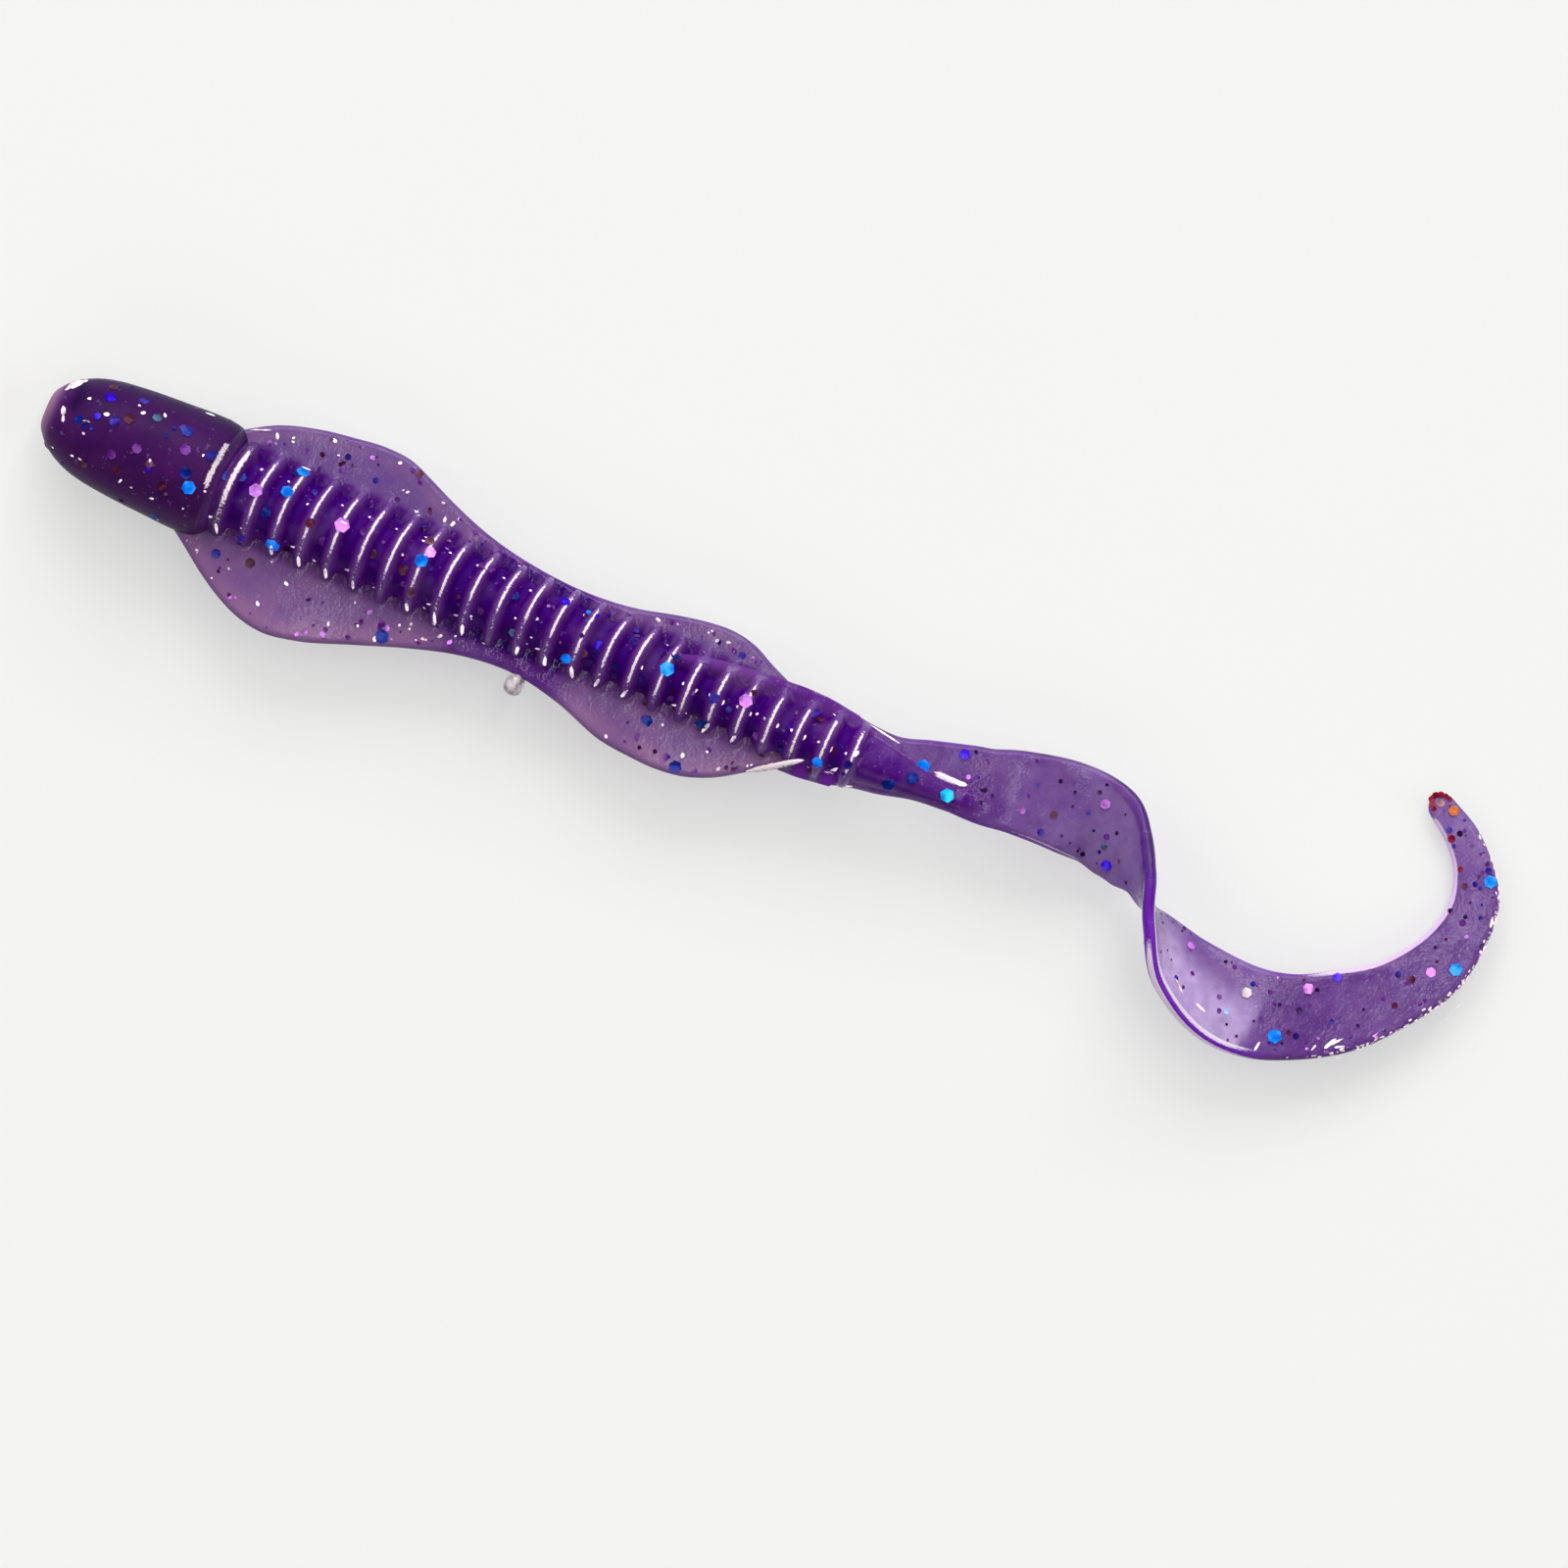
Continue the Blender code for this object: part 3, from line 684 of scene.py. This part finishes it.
def add_flake(group, point, normal, radius, colour, tilt, stretch=1.0, turn=None, ragged=0.0):
    """A six-sided piece of film just clear of the surface, stretched along its turn from +X."""
    n = Vector([float(v) for v in normal]).normalized()
    n = (n + Vector([random.gauss(0, tilt) for _ in range(3)])).normalized()
    if turn is None:
        turn = random.uniform(0, math.pi)
    along = Vector((math.cos(turn), math.sin(turn), 0.0))
    slope = along.dot(n)
    u = (along - n * slope if abs(slope) < 0.95 else n.orthogonal()).normalized()
    w = n.cross(u)
    centre = Vector([float(v) for v in point]) + n * 0.03
    hexagon = []
    for k in range(6):
        r = radius * (1 + ragged * random.uniform(-1, 1))
        a = k * math.pi / 3
        hexagon.append(centre + u * (math.cos(a) * r * stretch) + w * (math.sin(a) * r))
    glitter.setdefault(group, []).append((hexagon, n, colour))


def build_glitter(group, name):
    points, faces, normals, slots = [], [], [], []
    used = sorted({c for _, _, c in glitter.get(group, [])}, key=PALETTE.index)
    for hexagon, n, colour in glitter.get(group, []):
        first = len(points)
        points += [tuple(p) for p in hexagon]
        normals += [tuple(n)] * 6
        faces.append(tuple(range(first, first + 6)))
        slots.append(used.index(colour))
    return make_object(name, points, faces, normals, None, [FOILS[c] for c in used], slots)


# ---------------------------------------------------------------- pieces along the body
# name, first and last x, body, next body, x where the bend between them starts and ends, nodes it replaces
BODY_PIECES = (
    ("head_skin", 0.0, FIRST_RIB, "head", "neck_rib", 10.2, 11.25, ("head", "neck_rib")),
    ("front_skin_a", FIRST_RIB, 21.0, "neck_rib", "front_body", 11.6, 12.85, ()),
    ("front_skin_b", 21.0, WAIST, "front_body", "waist_rib", 31.7, 32.85, ("front_body", "waist_rib")),
    ("rear_skin_a", WAIST, 40.6, "waist_rib", "rear_body", 33.37, 34.52, ()),
    ("rear_skin_b", 40.6, 48.14, "rear_body", "rear_rib", 46.75, 47.9, ("rear_body", "rear_rib")),
    ("root_skin_a", 48.14, 53.0, "rear_rib", "tail_root", 48.4, 49.55, ("tail_root",)))
cuts = [(name, at("body", x0), at("body", x1), a, b, (before, 0, 0), (after, 0, 0), nodes)
        for name, x0, x1, a, b, before, after, nodes in BODY_PIECES]
starts = [at("body", 53.0)] + [at("ribbon", (a + b) / 2) for a, b in zip(RIBBON_CUTS, RIBBON_CUTS[1:-1])]
for k, hinge in enumerate(RIBBON_CUTS[:-1]):
    centre, ahead, _, _ = ribbon_place(hinge)
    last = starts[k + 1] if k + 1 < len(starts) else COUNT - 1
    cuts.append((f"ribbon_skin_{k + 1}", starts[k], last, RIBBON_BODIES[k], RIBBON_BODIES[k + 1],
                 tuple(centre - ahead * 0.75), tuple(centre + ahead * 0.75), (RIBBON_BODIES[k + 1],)))


def group_at(i):
    """Name of the piece that holds ring i."""
    for name, start, end, *_ in cuts:
        if start <= i <= end:
            return name
    return cuts[-1][0]


head_end = at("body", HEAD_END)
fixed_webs = {"front_skin_b": (FRONT_FINS_END, WAIST), "rear_skin_a": (WAIST, REAR_FINS_START)}
for name, start, end, a, b, before, after, nodes in cuts:
    piece = Piece()
    add_skin(piece, start, end)
    if name in fixed_webs:
        for edge, side in ((RIGHT_EDGE, 1), (LEFT_EDGE, -1)):
            piece.grid(*fin_grid(edge, side, *fixed_webs[name]), False)
    thin = name.startswith("ribbon")
    if thin:
        obj = piece.build(name, [RIBBON_SKIN])
    else:
        skin_points = (end - start + 1) * RING
        slots = []
        for face in piece.faces:
            ring = start + min(face) // RING
            groove = min(face) < skin_points and sinks[ring] > 0.35 and stations[ring][1] < RIBS_END
            slots.append(1 if ring < head_end else 2 * groove)
        obj = piece.build(name, [BODY, HEAD_SKIN, GROOVE], slots)
    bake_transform(obj)
    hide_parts(*nodes)

path, size = np.array(SEAM)[:, :3], np.array(SEAM)[:, 3]
ahead = np.gradient(path, axis=0)
ahead /= np.linalg.norm(ahead, axis=1, keepdims=True)
level = np.cross((0.0, 0.0, 1.0), ahead)
level /= np.linalg.norm(level, axis=1, keepdims=True)
above = np.cross(ahead, level)
around = np.linspace(0, 2 * math.pi, SEAM_SIDES, endpoint=False)
tube = np.array([[path[i] + size[i] * (math.cos(a) * level[i] + math.sin(a) * above[i]) for a in around]
                 for i in range(len(path))])
tone = blank_tones(*tube.shape[:2])
tone[..., DEEP] = 0.5
# painted highlight along the top of the seam
tone[..., PAINTED_HIGHLIGHT] = np.clip(np.sin(around) * 3 - 0.9, 0, 1)
piece = Piece()
piece.tube(tube, tone)
obj = piece.build("rear_lobe_seam", [BODY])
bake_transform(obj)

# name, edge, side, both ends, body, then where the fold starts and ends; it starts at the fixed web's rim
FINS = (
    ("fin_front_right", RIGHT_EDGE, 1, 10.6, FRONT_FINS_END, "front_body", (27.0, 3.05), (26.97, 4.55)),
    ("fin_front_left", LEFT_EDGE, -1, 8.6, FRONT_FINS_END, "front_body", (27.0, 3.68), (26.97, 5.2)),
    ("fin_rear_right", RIGHT_EDGE, 1, REAR_FINS_START, 46.5, "rear_body", (34.8, 2.76), (34.9, 4.05)),
    ("fin_rear_left", LEFT_EDGE, -1, REAR_FINS_START, 47.6, "rear_body", (34.8, 4.46), (35.04, 5.9)))


def fold(obj, name, side, body, start, end):
    start, end = (Vector((x, side * y, 0)) * MM for x, y in (start, end))
    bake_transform(obj)


for name, edge, side, x0, x1, body, start, end in FINS:
    piece = Piece()
    piece.grid(*fin_grid(edge, side, x0, x1), False)
    obj = piece.build(name + "_web", [THIN])
    fold(obj, name, side, body, start, end)
    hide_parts(name)


# ---------------------------------------------------------------- placing the glitter
def body_reach(x):
    return curve(HEAD, x) if x < HEAD_END else curve(CREST, x)


def body_flake(x, y, radius, colour, tilt=0.14, top=True, **shape):
    """A flake in the ribs or head, at x and y as seen from above."""
    if x > 49.4 and top:
        return tail_flake(x, y, radius, colour, **shape)
    x = max(x, 0.4)
    surface = reach = body_reach(x)
    share = max(-0.96, min(0.96, y / reach))
    if x >= HEAD_END:
        lean = float(bow(x, np.array((0.0, share, math.sqrt(1 - share**2)))))
        here, sink = rib_radius(x - lean)
        surface = reach + 0.03 if radius > 0.3 and sink <= 0.6 and not shape else here + 0.02
    z = surface * math.sqrt(1 - share**2) * (1 if top else -1)
    back = -surface * (curve(HEAD, x + 0.05) - curve(HEAD, x - 0.05)) / 0.1 if x < 9.0 else 0.0
    add_flake(group_at(at("body", x)), (x, surface * share, z), (back, y, z), radius, colour, tilt, **shape)


def sheet_flake(t, across, radius, colour, tilt=0.06, top=True, **shape):
    """A flake on the ribbon at t, across from -1 to 1."""
    i = at("ribbon", t)
    centre, width, raised = places[i]
    half = np.abs((rings[i] - centre) @ width).max()
    wrong = (rings[i] - centre) @ raised * raised[2] * (1 if top else -1) < 0
    j = int(np.argmin(np.abs((rings[i] - centre) @ width - across * half) + 9 * wrong))
    add_flake(group_at(i), rings[i, j], ring_normals[i, j], radius, colour, tilt, **shape)


def tail_flake(x, y, radius, colour, **shape):
    """A flake on whichever side of the tail is seen from above at x and y."""
    first = at("body", 48.5)
    seen = rings[first:, :, :2] - (x, y)
    far = np.hypot(seen[..., 0], seen[..., 1]) + 5.0 * (ring_normals[first:, :, 2] < 0.15)
    i, j = np.unravel_index(int(np.argmin(far)), far.shape)
    i += first
    large = radius > 0.3
    point, normal = (x, y, rings[i, j, 2] + 0.07 * large), ring_normals[i, j] + (0.0, 0.0, 1.5 * large)
    add_flake(group_at(i), point, normal, radius, colour, 0.03, **shape)


def fin_flake(name, x, y, radius, colour, tilt=0.08, top=True, **shape):
    z = (0.37 if top else -0.37) + fin_lift(x, 1 if y > 0 else -1, abs(y))
    add_flake(name, (x, y, z), (0, 0, 1 if top else -1), radius, colour, tilt, **shape)


# the flakes that stand out: x, y, radius, colour
HEAD_FLAKES = (
    (3.2, 1.95, 0.34, "indigo"), (2.96, 0.68, 0.22, "indigo"), (3.97, 0.8, 0.33, "dusk"),
    (2.55, -0.05, 0.26, "dusk"), (4.55, -0.98, 0.3, "lilac"), (5.76, -0.12, 0.3, "lilac"),
    (6.72, -0.62, 0.26, "copper"), (6.8, -0.92, 0.18, "indigo"), (7.97, 1.9, 0.38, "navy"),
    (8.84, -0.31, 0.36, "navy"), (9.32, -0.98, 0.42, "azure"), (4.7, 1.28, 0.36, "red"),
    (7.9, -1.5, 0.3, "red"), (6.1, 1.93, 0.3, "teal"), (5.0, 2.5, 0.3, "dusk"), (3.1, 2.55, 0.28, "copper"),
    (3.3, -2.14, 0.24, "copper"), (8.3, 0.9, 0.34, "lilac"), (5.2, -1.7, 0.24, "red"),
    (9.7, 1.1, 0.3, "dusk"))
RIB_FLAKES = (
    (14.9, -2.05, 0.46, "azure"), (14.5, 1.0, 0.37, "azure"), (14.85, 2.35, 0.4, "azure"),
    (23.0, 0.42, 0.4, "azure"), (23.3, 1.05, 0.34, "pink"), (12.85, 0.36, 0.42, "pink"),
    (18.1, 0.5, 0.46, "pink"), (13.8, -0.72, 0.36, "navy"), (10.95, 0.46, 0.28, "navy"),
    (31.4, 1.55, 0.3, "indigo"), (32.9, 1.75, 0.22, "azure"), (29.4, -1.45, 0.3, "teal"),
    (32.7, -1.4, 0.34, "azure"), (34.2, -0.65, 0.36, "dusk"), (34.15, 0.0, 0.3, "indigo"),
    (38.2, 0.3, 0.44, "azure"), (41.3, -0.15, 0.34, "dusk"), (41.2, -1.75, 0.4, "navy"),
    (48.1, -1.15, 0.34, "azure"), (43.0, 0.4, 0.42, "pink"), (23.2, -1.45, 0.3, "copper"),
    (16.0, 2.1, 0.3, "dusk"), (47.2, 1.5, 0.34, "red"), (46.0, -1.75, 0.34, "dusk"),
    (53.7, 0.98, 0.4, "azure"), (53.4, 0.12, 0.38, "navy"), (55.6, 0.0, 0.42, "cyan"),
    (52.27, -0.7, 0.4, "navy"), (50.3, -0.2, 0.3, "lilac"), (20.3, -0.4, 0.3, "copper"),
    (16.4, -0.1, 0.3, "red"), (22.3, -0.6, 0.36, "red"), (28.6, 0.9, 0.3, "navy"))
FIN_FLAKES = (
    ("fin_front_left", 22.6, -4.4, 0.42, "navy"), ("fin_front_left", 22.3, -3.75, 0.22, "lilac"),
    ("fin_front_left", 12.1, -3.8, 0.28, "navy"), ("fin_front_left", 14.1, -3.5, 0.3, "copper"),
    ("fin_rear_left", 38.3, -2.85, 0.34, "navy"), ("fin_rear_left", 40.8, -4.6, 0.38, "navy"),
    ("fin_rear_left", 38.5, -4.4, 0.13, "pepper"), ("fin_rear_left", 39.4, -4.25, 0.14, "pepper"),
    ("fin_rear_right", 41.8, 2.7, 0.24, "dusk"), ("fin_front_right", 20.9, 4.95, 0.24, "copper"),
    ("fin_front_right", 18.8, 3.6, 0.2, "dusk"), ("fin_front_right", 16.8, 4.2, 0.2, "dusk"))
RIBBON_FLAKES = (
    (55.6, 2.55, 0.32, "indigo"), (65.5, -0.06, 0.33, "indigo"), (64.05, 3.1, 0.31, "pink"),
    (59.8, 0.9, 0.27, "pink"), (61.6, 1.4, 0.24, "copper"), (64.97, 0.87, 0.22, "teal"),
    (64.87, 1.43, 0.2, "lilac"), (61.3, 0.2, 0.22, "dusk"), (64.0, 0.0, 0.17, "pepper"),
    (61.2, 3.3, 0.14, "pepper"), (60.1, 2.6, 0.12, "dusk"), (63.5, 3.6, 0.14, "copper"),
    (63.7, 4.15, 0.1, "pepper"), (62.4, 2.26, 0.1, "pepper"), (57.3, 1.07, 0.1, "pepper"),
    (57.5, 0.38, 0.15, "pepper"), (66.9, -0.5, 0.15, "red"), (56.3, 1.45, 0.15, "pink"),
    (71.7, -2.35, 0.26, "pink"), (75.65, -3.55, 0.32, "cream"), (74.5, -4.3, 0.17, "sky"),
    (75.0, -5.0, 0.17, "sky"), (78.1, -5.2, 0.42, "azure"), (78.8, -1.95, 0.33, "pink"),
    (75.8, -2.95, 0.16, "dusk"), (78.8, -3.3, 0.19, "pepper"), (80.05, -0.7, 0.26, "indigo"),
    (79.2, -4.7, 0.2, "dusk"), (83.2, 0.8, 0.2, "dusk"), (84.0, 0.85, 0.24, "red"),
    (84.85, 1.65, 0.3, "pink"), (86.1, 2.35, 0.38, "azure"), (85.4, 4.95, 0.22, "lilac"),
    (84.7, 6.9, 0.2, "copper"), (85.2, 7.25, 0.17, "dusk"), (84.1, 7.7, 0.17, "ruby"),
    (85.95, 7.72, 0.38, "azure"), (85.6, 8.25, 0.2, "dusk"), (82.95, 9.1, 0.24, "ruby"),
    (83.28, 9.56, 0.19, "pepper"), (82.65, 9.5, 0.19, "dusk"), (82.45, 10.62, 0.32, "amber"),
    (81.6, 10.72, 0.24, "tan"), (83.7, -0.9, 0.2, "red"), (81.05, 10.75, 0.24, "ruby"),
    (81.15, 11.0, 0.24, "ruby"), (81.4, 11.15, 0.24, "ruby"), (81.7, 11.2, 0.18, "ruby"),
    (81.95, 11.12, 0.18, "ruby"), (81.15, 10.5, 0.18, "ruby"), (81.35, 10.3, 0.17, "ruby"))
for x, y, radius, colour in HEAD_FLAKES + RIB_FLAKES:
    body_flake(x, y, radius, colour, 0.06)
for name, x, y, radius, colour in FIN_FLAKES:
    fin_flake(name, x, y, radius, colour)
for x, y, radius, colour in RIBBON_FLAKES:
    tail_flake(x, y, radius, colour)

# painted highlights as small bright flakes: x, y, half length, half width, angle in degrees
GLINTS = (
    (8.7, 3.3, 0.3, 0.13, 0), (1.06, 1.86, 0.52, 0.46, 52), (0.78, 1.5, 0.26, 0.14, 60),
    (1.4, 2.2, 0.24, 0.2, 35), (1.05, 0.2, 0.28, 0.17, -50), (1.2, -0.18, 0.22, 0.1, -60),
    (14.95, 2.62, 0.3, 0.1, 10), (3.4, 0.99, 0.17, 0.12, 15), (4.89, 2.17, 0.12, 0.09, -20),
    (5.27, 1.88, 0.17, 0.1, 50), (6.43, 2.24, 0.17, 0.1, -70), (2.14, 1.42, 0.13, 0.1, 30),
    (2.48, 0.17, 0.24, 0.05, 8), (2.62, -0.52, 0.11, 0.08, 0), (4.55, -0.81, 0.2, 0.05, 8),
    (6.72, -0.45, 0.14, 0.08, -60), (1.25, -1.92, 0.11, 0.07, 20), (2.5, -1.92, 0.13, 0.08, 10),
    (2.99, -1.92, 0.12, 0.07, 0), (5.58, -2.14, 0.18, 0.07, 70), (6.29, -2.24, 0.1, 0.06, 20),
    (7.59, -2.36, 0.16, 0.09, 40), (10.2, -0.55, 0.09, 0.07, 0), (10.25, -0.8, 0.09, 0.07, 0),
    (10.4, -2.6, 0.15, 0.08, 30), (10.8, -1.5, 0.2, 0.06, 80), (18.1, 0.5, 0.32, 0.27, 0),
    (43.0, 0.4, 0.22, 0.2, 30), (30.4, -1.5, 0.1, 0.07, 0), (26.8, -1.5, 0.12, 0.08, 40),
    (48.7, -1.9, 0.26, 0.1, 40), (49.2, -1.55, 0.36, 0.14, 62), (49.0, -1.9, 0.2, 0.09, 0),
    (50.3, -1.7, 0.26, 0.07, 15), (49.9, 0.1, 0.24, 0.12, 70), (51.1, 1.78, 1.0, 0.06, -10),
    (55.1, 0.97, 0.75, 0.07, 2), (55.75, 0.94, 0.6, 0.14, -3), (56.15, 0.96, 0.3, 0.13, 8),
    (71.9, -4.7, 0.5, 0.06, -28), (73.5, -5.35, 0.42, 0.06, -12), (81.15, -4.35, 0.48, 0.1, 62),
    (81.4, -4.15, 0.46, 0.09, 48), (81.7, -4.3, 0.3, 0.07, 30), (80.4, -4.9, 0.24, 0.05, 70),
    (77.4, -6.1, 0.3, 0.07, 80), (86.9, 0.3, 0.5, 0.09, 62), (86.6, -0.5, 0.36, 0.08, 55),
    (87.3, 2.3, 0.5, 0.07, 80), (86.9, 5.6, 0.4, 0.08, 100), (81.9, -4.9, 0.35, 0.05, 45))
for x, y, long, wide, angle in GLINTS:
    body_flake(x, y, wide, "spark", 0.03, stretch=long / wide, turn=math.radians(angle), ragged=0.2)
# painted highlights on the right front fin: x, y, half length, half width, angle in degrees
FIN_GLINTS = ((11.7, 3.66, 0.6, 0.05, 22), (12.65, 3.72, 0.2, 0.1, -65), (13.6, 3.75, 0.1, 0.06, 10))
for x, y, long, wide, angle in FIN_GLINTS:
    shape = {"stretch": long / wide, "turn": math.radians(angle), "ragged": 0.2}
    fin_flake("fin_front_right", x, y, wide, "spark", 0.03, **shape)
for k in range(RIBS):
    # painted highlights: the wet-looking foot at the end of each crest and the dash and dot in the groove before
    # it
    x, reach = FIRST_RIB + k * PITCH, curve(CREST, FIRST_RIB + k * PITCH)
    foot, dash, dot = (random.random() < odds for odds in (0.9, 0.55 if k < 9 else 0.2, 0.5))
    if foot and k < 20:
        lead, angle = (0.2, -82) if k < 14 else (0.05, -95)
        body_flake(x + lead, -0.83 * reach, 0.11, "spark", 0.03, stretch=random.uniform(4.0, 5.5),
                   turn=math.radians(angle), ragged=0.25)
    if dash:
        body_flake(x - 0.35, -0.72 * reach, 0.085, "spark", 0.03, stretch=2.9, turn=math.radians(28), ragged=0.1)
    if dot:
        body_flake(x - 0.42, (0.72 if k < 15 else -0.05) * reach, 0.09, "spark", 0.05, stretch=1.2, ragged=0.3)
    if k > 13 and random.random() < 0.7:
        body_flake(x + 0.4, -0.1 * reach, 0.07, "spark", 0.05, stretch=2.2, turn=1.5, ragged=0.3)


# the rest, scattered: through the head and ribs, painted highlights as fine sparkle on the ribs, in the fins
# (partly painted sparkle) and in the ribbon
BODY_MIX = ("lilac",) * 7 + ("dusk",) * 6 + ("red",) * 3 + ("copper",) + ("navy",) * 3 + ("indigo", "pink")
THIN_MIX = ("lilac",) * 9 + ("pepper",) * 3 + ("red",) * 3 + ("dusk",) * 3 + ("pink",) * 2
FIN_MIX = ("spark",) * 8 + ("lilac",) * 5 + ("pink",) * 4 + ("dusk", "red", "copper")
for _ in range(250):
    x = random.uniform(0.8, 50.0)
    if x < HEAD_END and random.random() < 0.6:
        continue
    angle = random.uniform(-math.pi, math.pi)
    radius = random.choice((0.12, 0.15, 0.2, 0.3))
    body_flake(x, body_reach(x) * math.sin(angle), radius, random.choice(BODY_MIX), top=math.cos(angle) > 0)
for _ in range(70):
    x = random.uniform(6.0, 50.0)
    angle = random.uniform(-math.pi, math.pi)
    body_flake(x, body_reach(x) * math.sin(angle), random.uniform(0.05, 0.09), "spark", top=math.cos(angle) > 0,
               stretch=1.5, ragged=0.3)
for name, edge, side, x0, x1, *_ in FINS:
    for _ in range(int((x1 - x0) * 3.6)):
        x = random.uniform(x0 + 1.5, x1 - 0.5)
        rim = curve(edge, x) - 0.4
        if rim < 2.7:
            continue
        y = rim - (rim - 2.6) * random.random()**1.6
        colour = random.choice(FIN_MIX)
        radius = random.choice((0.05, 0.07, 0.1)) if colour == "spark" else random.choice((0.07, 0.1, 0.14))
        fin_flake(name, x, side * y, radius, colour, 0.12, random.random() < 0.6, stretch=random.uniform(1.0, 1.8),
                  ragged=0.25)
for _ in range(230):
    t = random.uniform(0.0, 0.985)
    if t < 0.36 and random.random() < 0.45:
        continue
    across, radius = random.uniform(-0.85, 0.85), random.choice((0.07, 0.09, 0.12, 0.15))
    sheet_flake(t, across, radius, random.choice(THIN_MIX), 0.08, random.random() < 0.55, ragged=0.2)
for _ in range(230):
    # painted highlights: wet-looking sparkle along the outer edge of the curl
    t = random.triangular(0.56, 0.95, 0.77)
    ahead = ribbon_place(t)[1]
    across, radius = 0.99 - abs(random.gauss(0.02, 0.05)), random.uniform(0.03, 0.075)
    colour = random.choice(("spark", "spark", "cream", "pink"))
    sheet_flake(t, across, radius, colour, ragged=0.4, stretch=random.uniform(1.2, 3.5),
                turn=math.atan2(ahead[1], ahead[0]) + random.gauss(0, 0.3))

for name, start, end, a, b, before, after, nodes in cuts:
    if name not in glitter:
        continue
    obj = build_glitter(name, name.replace("skin", "glitter"))
    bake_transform(obj)
for name, edge, side, x0, x1, body, start, end in FINS:
    fold(build_glitter(name, name + "_glitter"), name, side, body, start, end)

# ---------------------------------------------------------------- the clear nub
rows = []
for k in range(NUB_ROWS):
    a = math.pi * (k + 0.12) / (NUB_ROWS - 1 + 0.24)
    r = NUB_RADIUS * math.sin(a) * (1 + 0.06 * math.sin(3 * a))
    y = NUB[1] - NUB_RADIUS * math.cos(a) + 0.05
    rows.append([(NUB[0] + r * math.cos(b) * 0.92, y, NUB[2] + r * math.sin(b))
                 for b in np.linspace(0, 2 * math.pi, NUB_SIDES, endpoint=False)])
rows = np.array(rows)
piece = Piece()
piece.tube(rows, np.ones((*rows.shape[:2], 8)))
material, nodes, links = new_material("clear_nub")
shader = nodes.new("ShaderNodeBsdfPrincipled")
streaks = ((0.4, linear(122, 102, 112)), (0.5, linear(214, 198, 206)), (0.6, linear(252, 248, 250)))
links.new(ramp(nodes, links, noise(nodes, links, 1500.0), streaks), shader.inputs["Base Color"])
shader.inputs["Roughness"].default_value = 0.06
alpha = math_node(nodes, links, "MULTIPLY", noise(nodes, links, 2100.0, 2.0), 1.3, True)
links.new(alpha, shader.inputs["Alpha"])
show(nodes, links, shader)
nub = piece.build("clear_nub_drop", [material])
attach(nub, "front_body")
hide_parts("clear_nub")

# ---------------------------------------------------------------- floor, light and camera
scene = bpy.context.scene
floor_z = float(cad_low[2]) - 0.02 * MM
mesh = bpy.data.meshes.new("table")
mesh.from_pydata([(-2, -2, floor_z), (2, -2, floor_z), (2, 2, floor_z), (-2, 2, floor_z)], [], [(0, 1, 2, 3)])
table_top = bpy.data.objects.new("table", mesh)
scene.collection.objects.link(table_top)
material, nodes, links = new_material("pale_table")
shader = nodes.new("ShaderNodeBsdfPrincipled")
links.new(mix_colour(nodes, links, noise(nodes, links, 60.0), (0.434, 0.436, 0.428, 1), (0.44, 0.442, 0.434, 1)),
          shader.inputs["Base Color"])
shader.inputs["Roughness"].default_value = 1.0
shader.inputs["Specular IOR Level"].default_value = 0.0
shader.inputs["Emission Color"].default_value = (1.0, 1.0, 0.985, 1.0)
shader.inputs["Emission Strength"].default_value = 0.48
show(nodes, links, shader)
mesh.materials.append(material)

world = bpy.data.worlds.new("studio")
scene.world = world
world.use_nodes = True
world.node_tree.nodes["Background"].inputs[0].default_value = (1.0, 1.0, 1.0, 1.0)
world.node_tree.nodes["Background"].inputs[1].default_value = 0.08


def area_light(name, direction, width, height, radiance):
    """A rectangle of light far off in that direction, its width along X and its height across it, in mm."""
    lamp = bpy.data.lights.new(name, "AREA")
    lamp.shape = "RECTANGLE"
    lamp.size, lamp.size_y = width * MM, height * MM
    lamp.energy = radiance * math.pi * lamp.size * lamp.size_y
    obj = bpy.data.objects.new(name, lamp)
    scene.collection.objects.link(obj)
    back = Vector(direction).normalized()
    wide = (Vector((1, 0, 0)) - back * back.x).normalized()
    tall = back.cross(wide)
    obj.location = (Vector((46, 0, 0)) + back * 2500) * MM
    obj.rotation_euler = Matrix((wide, tall, back)).transposed().to_euler()


area_light("key", (-0.3, 0.76, 0.58), 1900, 1300, 4.9)
area_light("strip_over", (0.1, 0.05, 1.0), 230, 1200, 7.5)
area_light("strip_high", (0.1, 0.5, 0.866), 230, 1640, 7.5)
area_light("strip_side", (0.1, 0.914, 0.407), 230, 1640, 7.5)
area_light("fill_head", (-0.74, 0.12, 0.66), 2000, 2000, 1.3)
area_light("fill_tail", (0.76, 0.12, 0.64), 2000, 2000, 1.2)
area_light("fill_low", (0.1, -0.8, 0.6), 2400, 900, 0.95)

camera = bpy.data.objects.new("camera", bpy.data.cameras.new("camera"))
scene.collection.objects.link(camera)
camera_height, view_width = 900.0, 88.96
camera.location = Vector((46.85, -3.06, camera_height)) * MM
camera.rotation_euler = (0.0, 0.0, math.radians(23.3))
camera.data.sensor_width = 36.0
camera.data.lens = 36.0 * camera_height / view_width
camera.data.clip_start = 0.005
camera.data.clip_end = 10.0
scene.camera = camera
scene.view_settings.view_transform = "Standard"
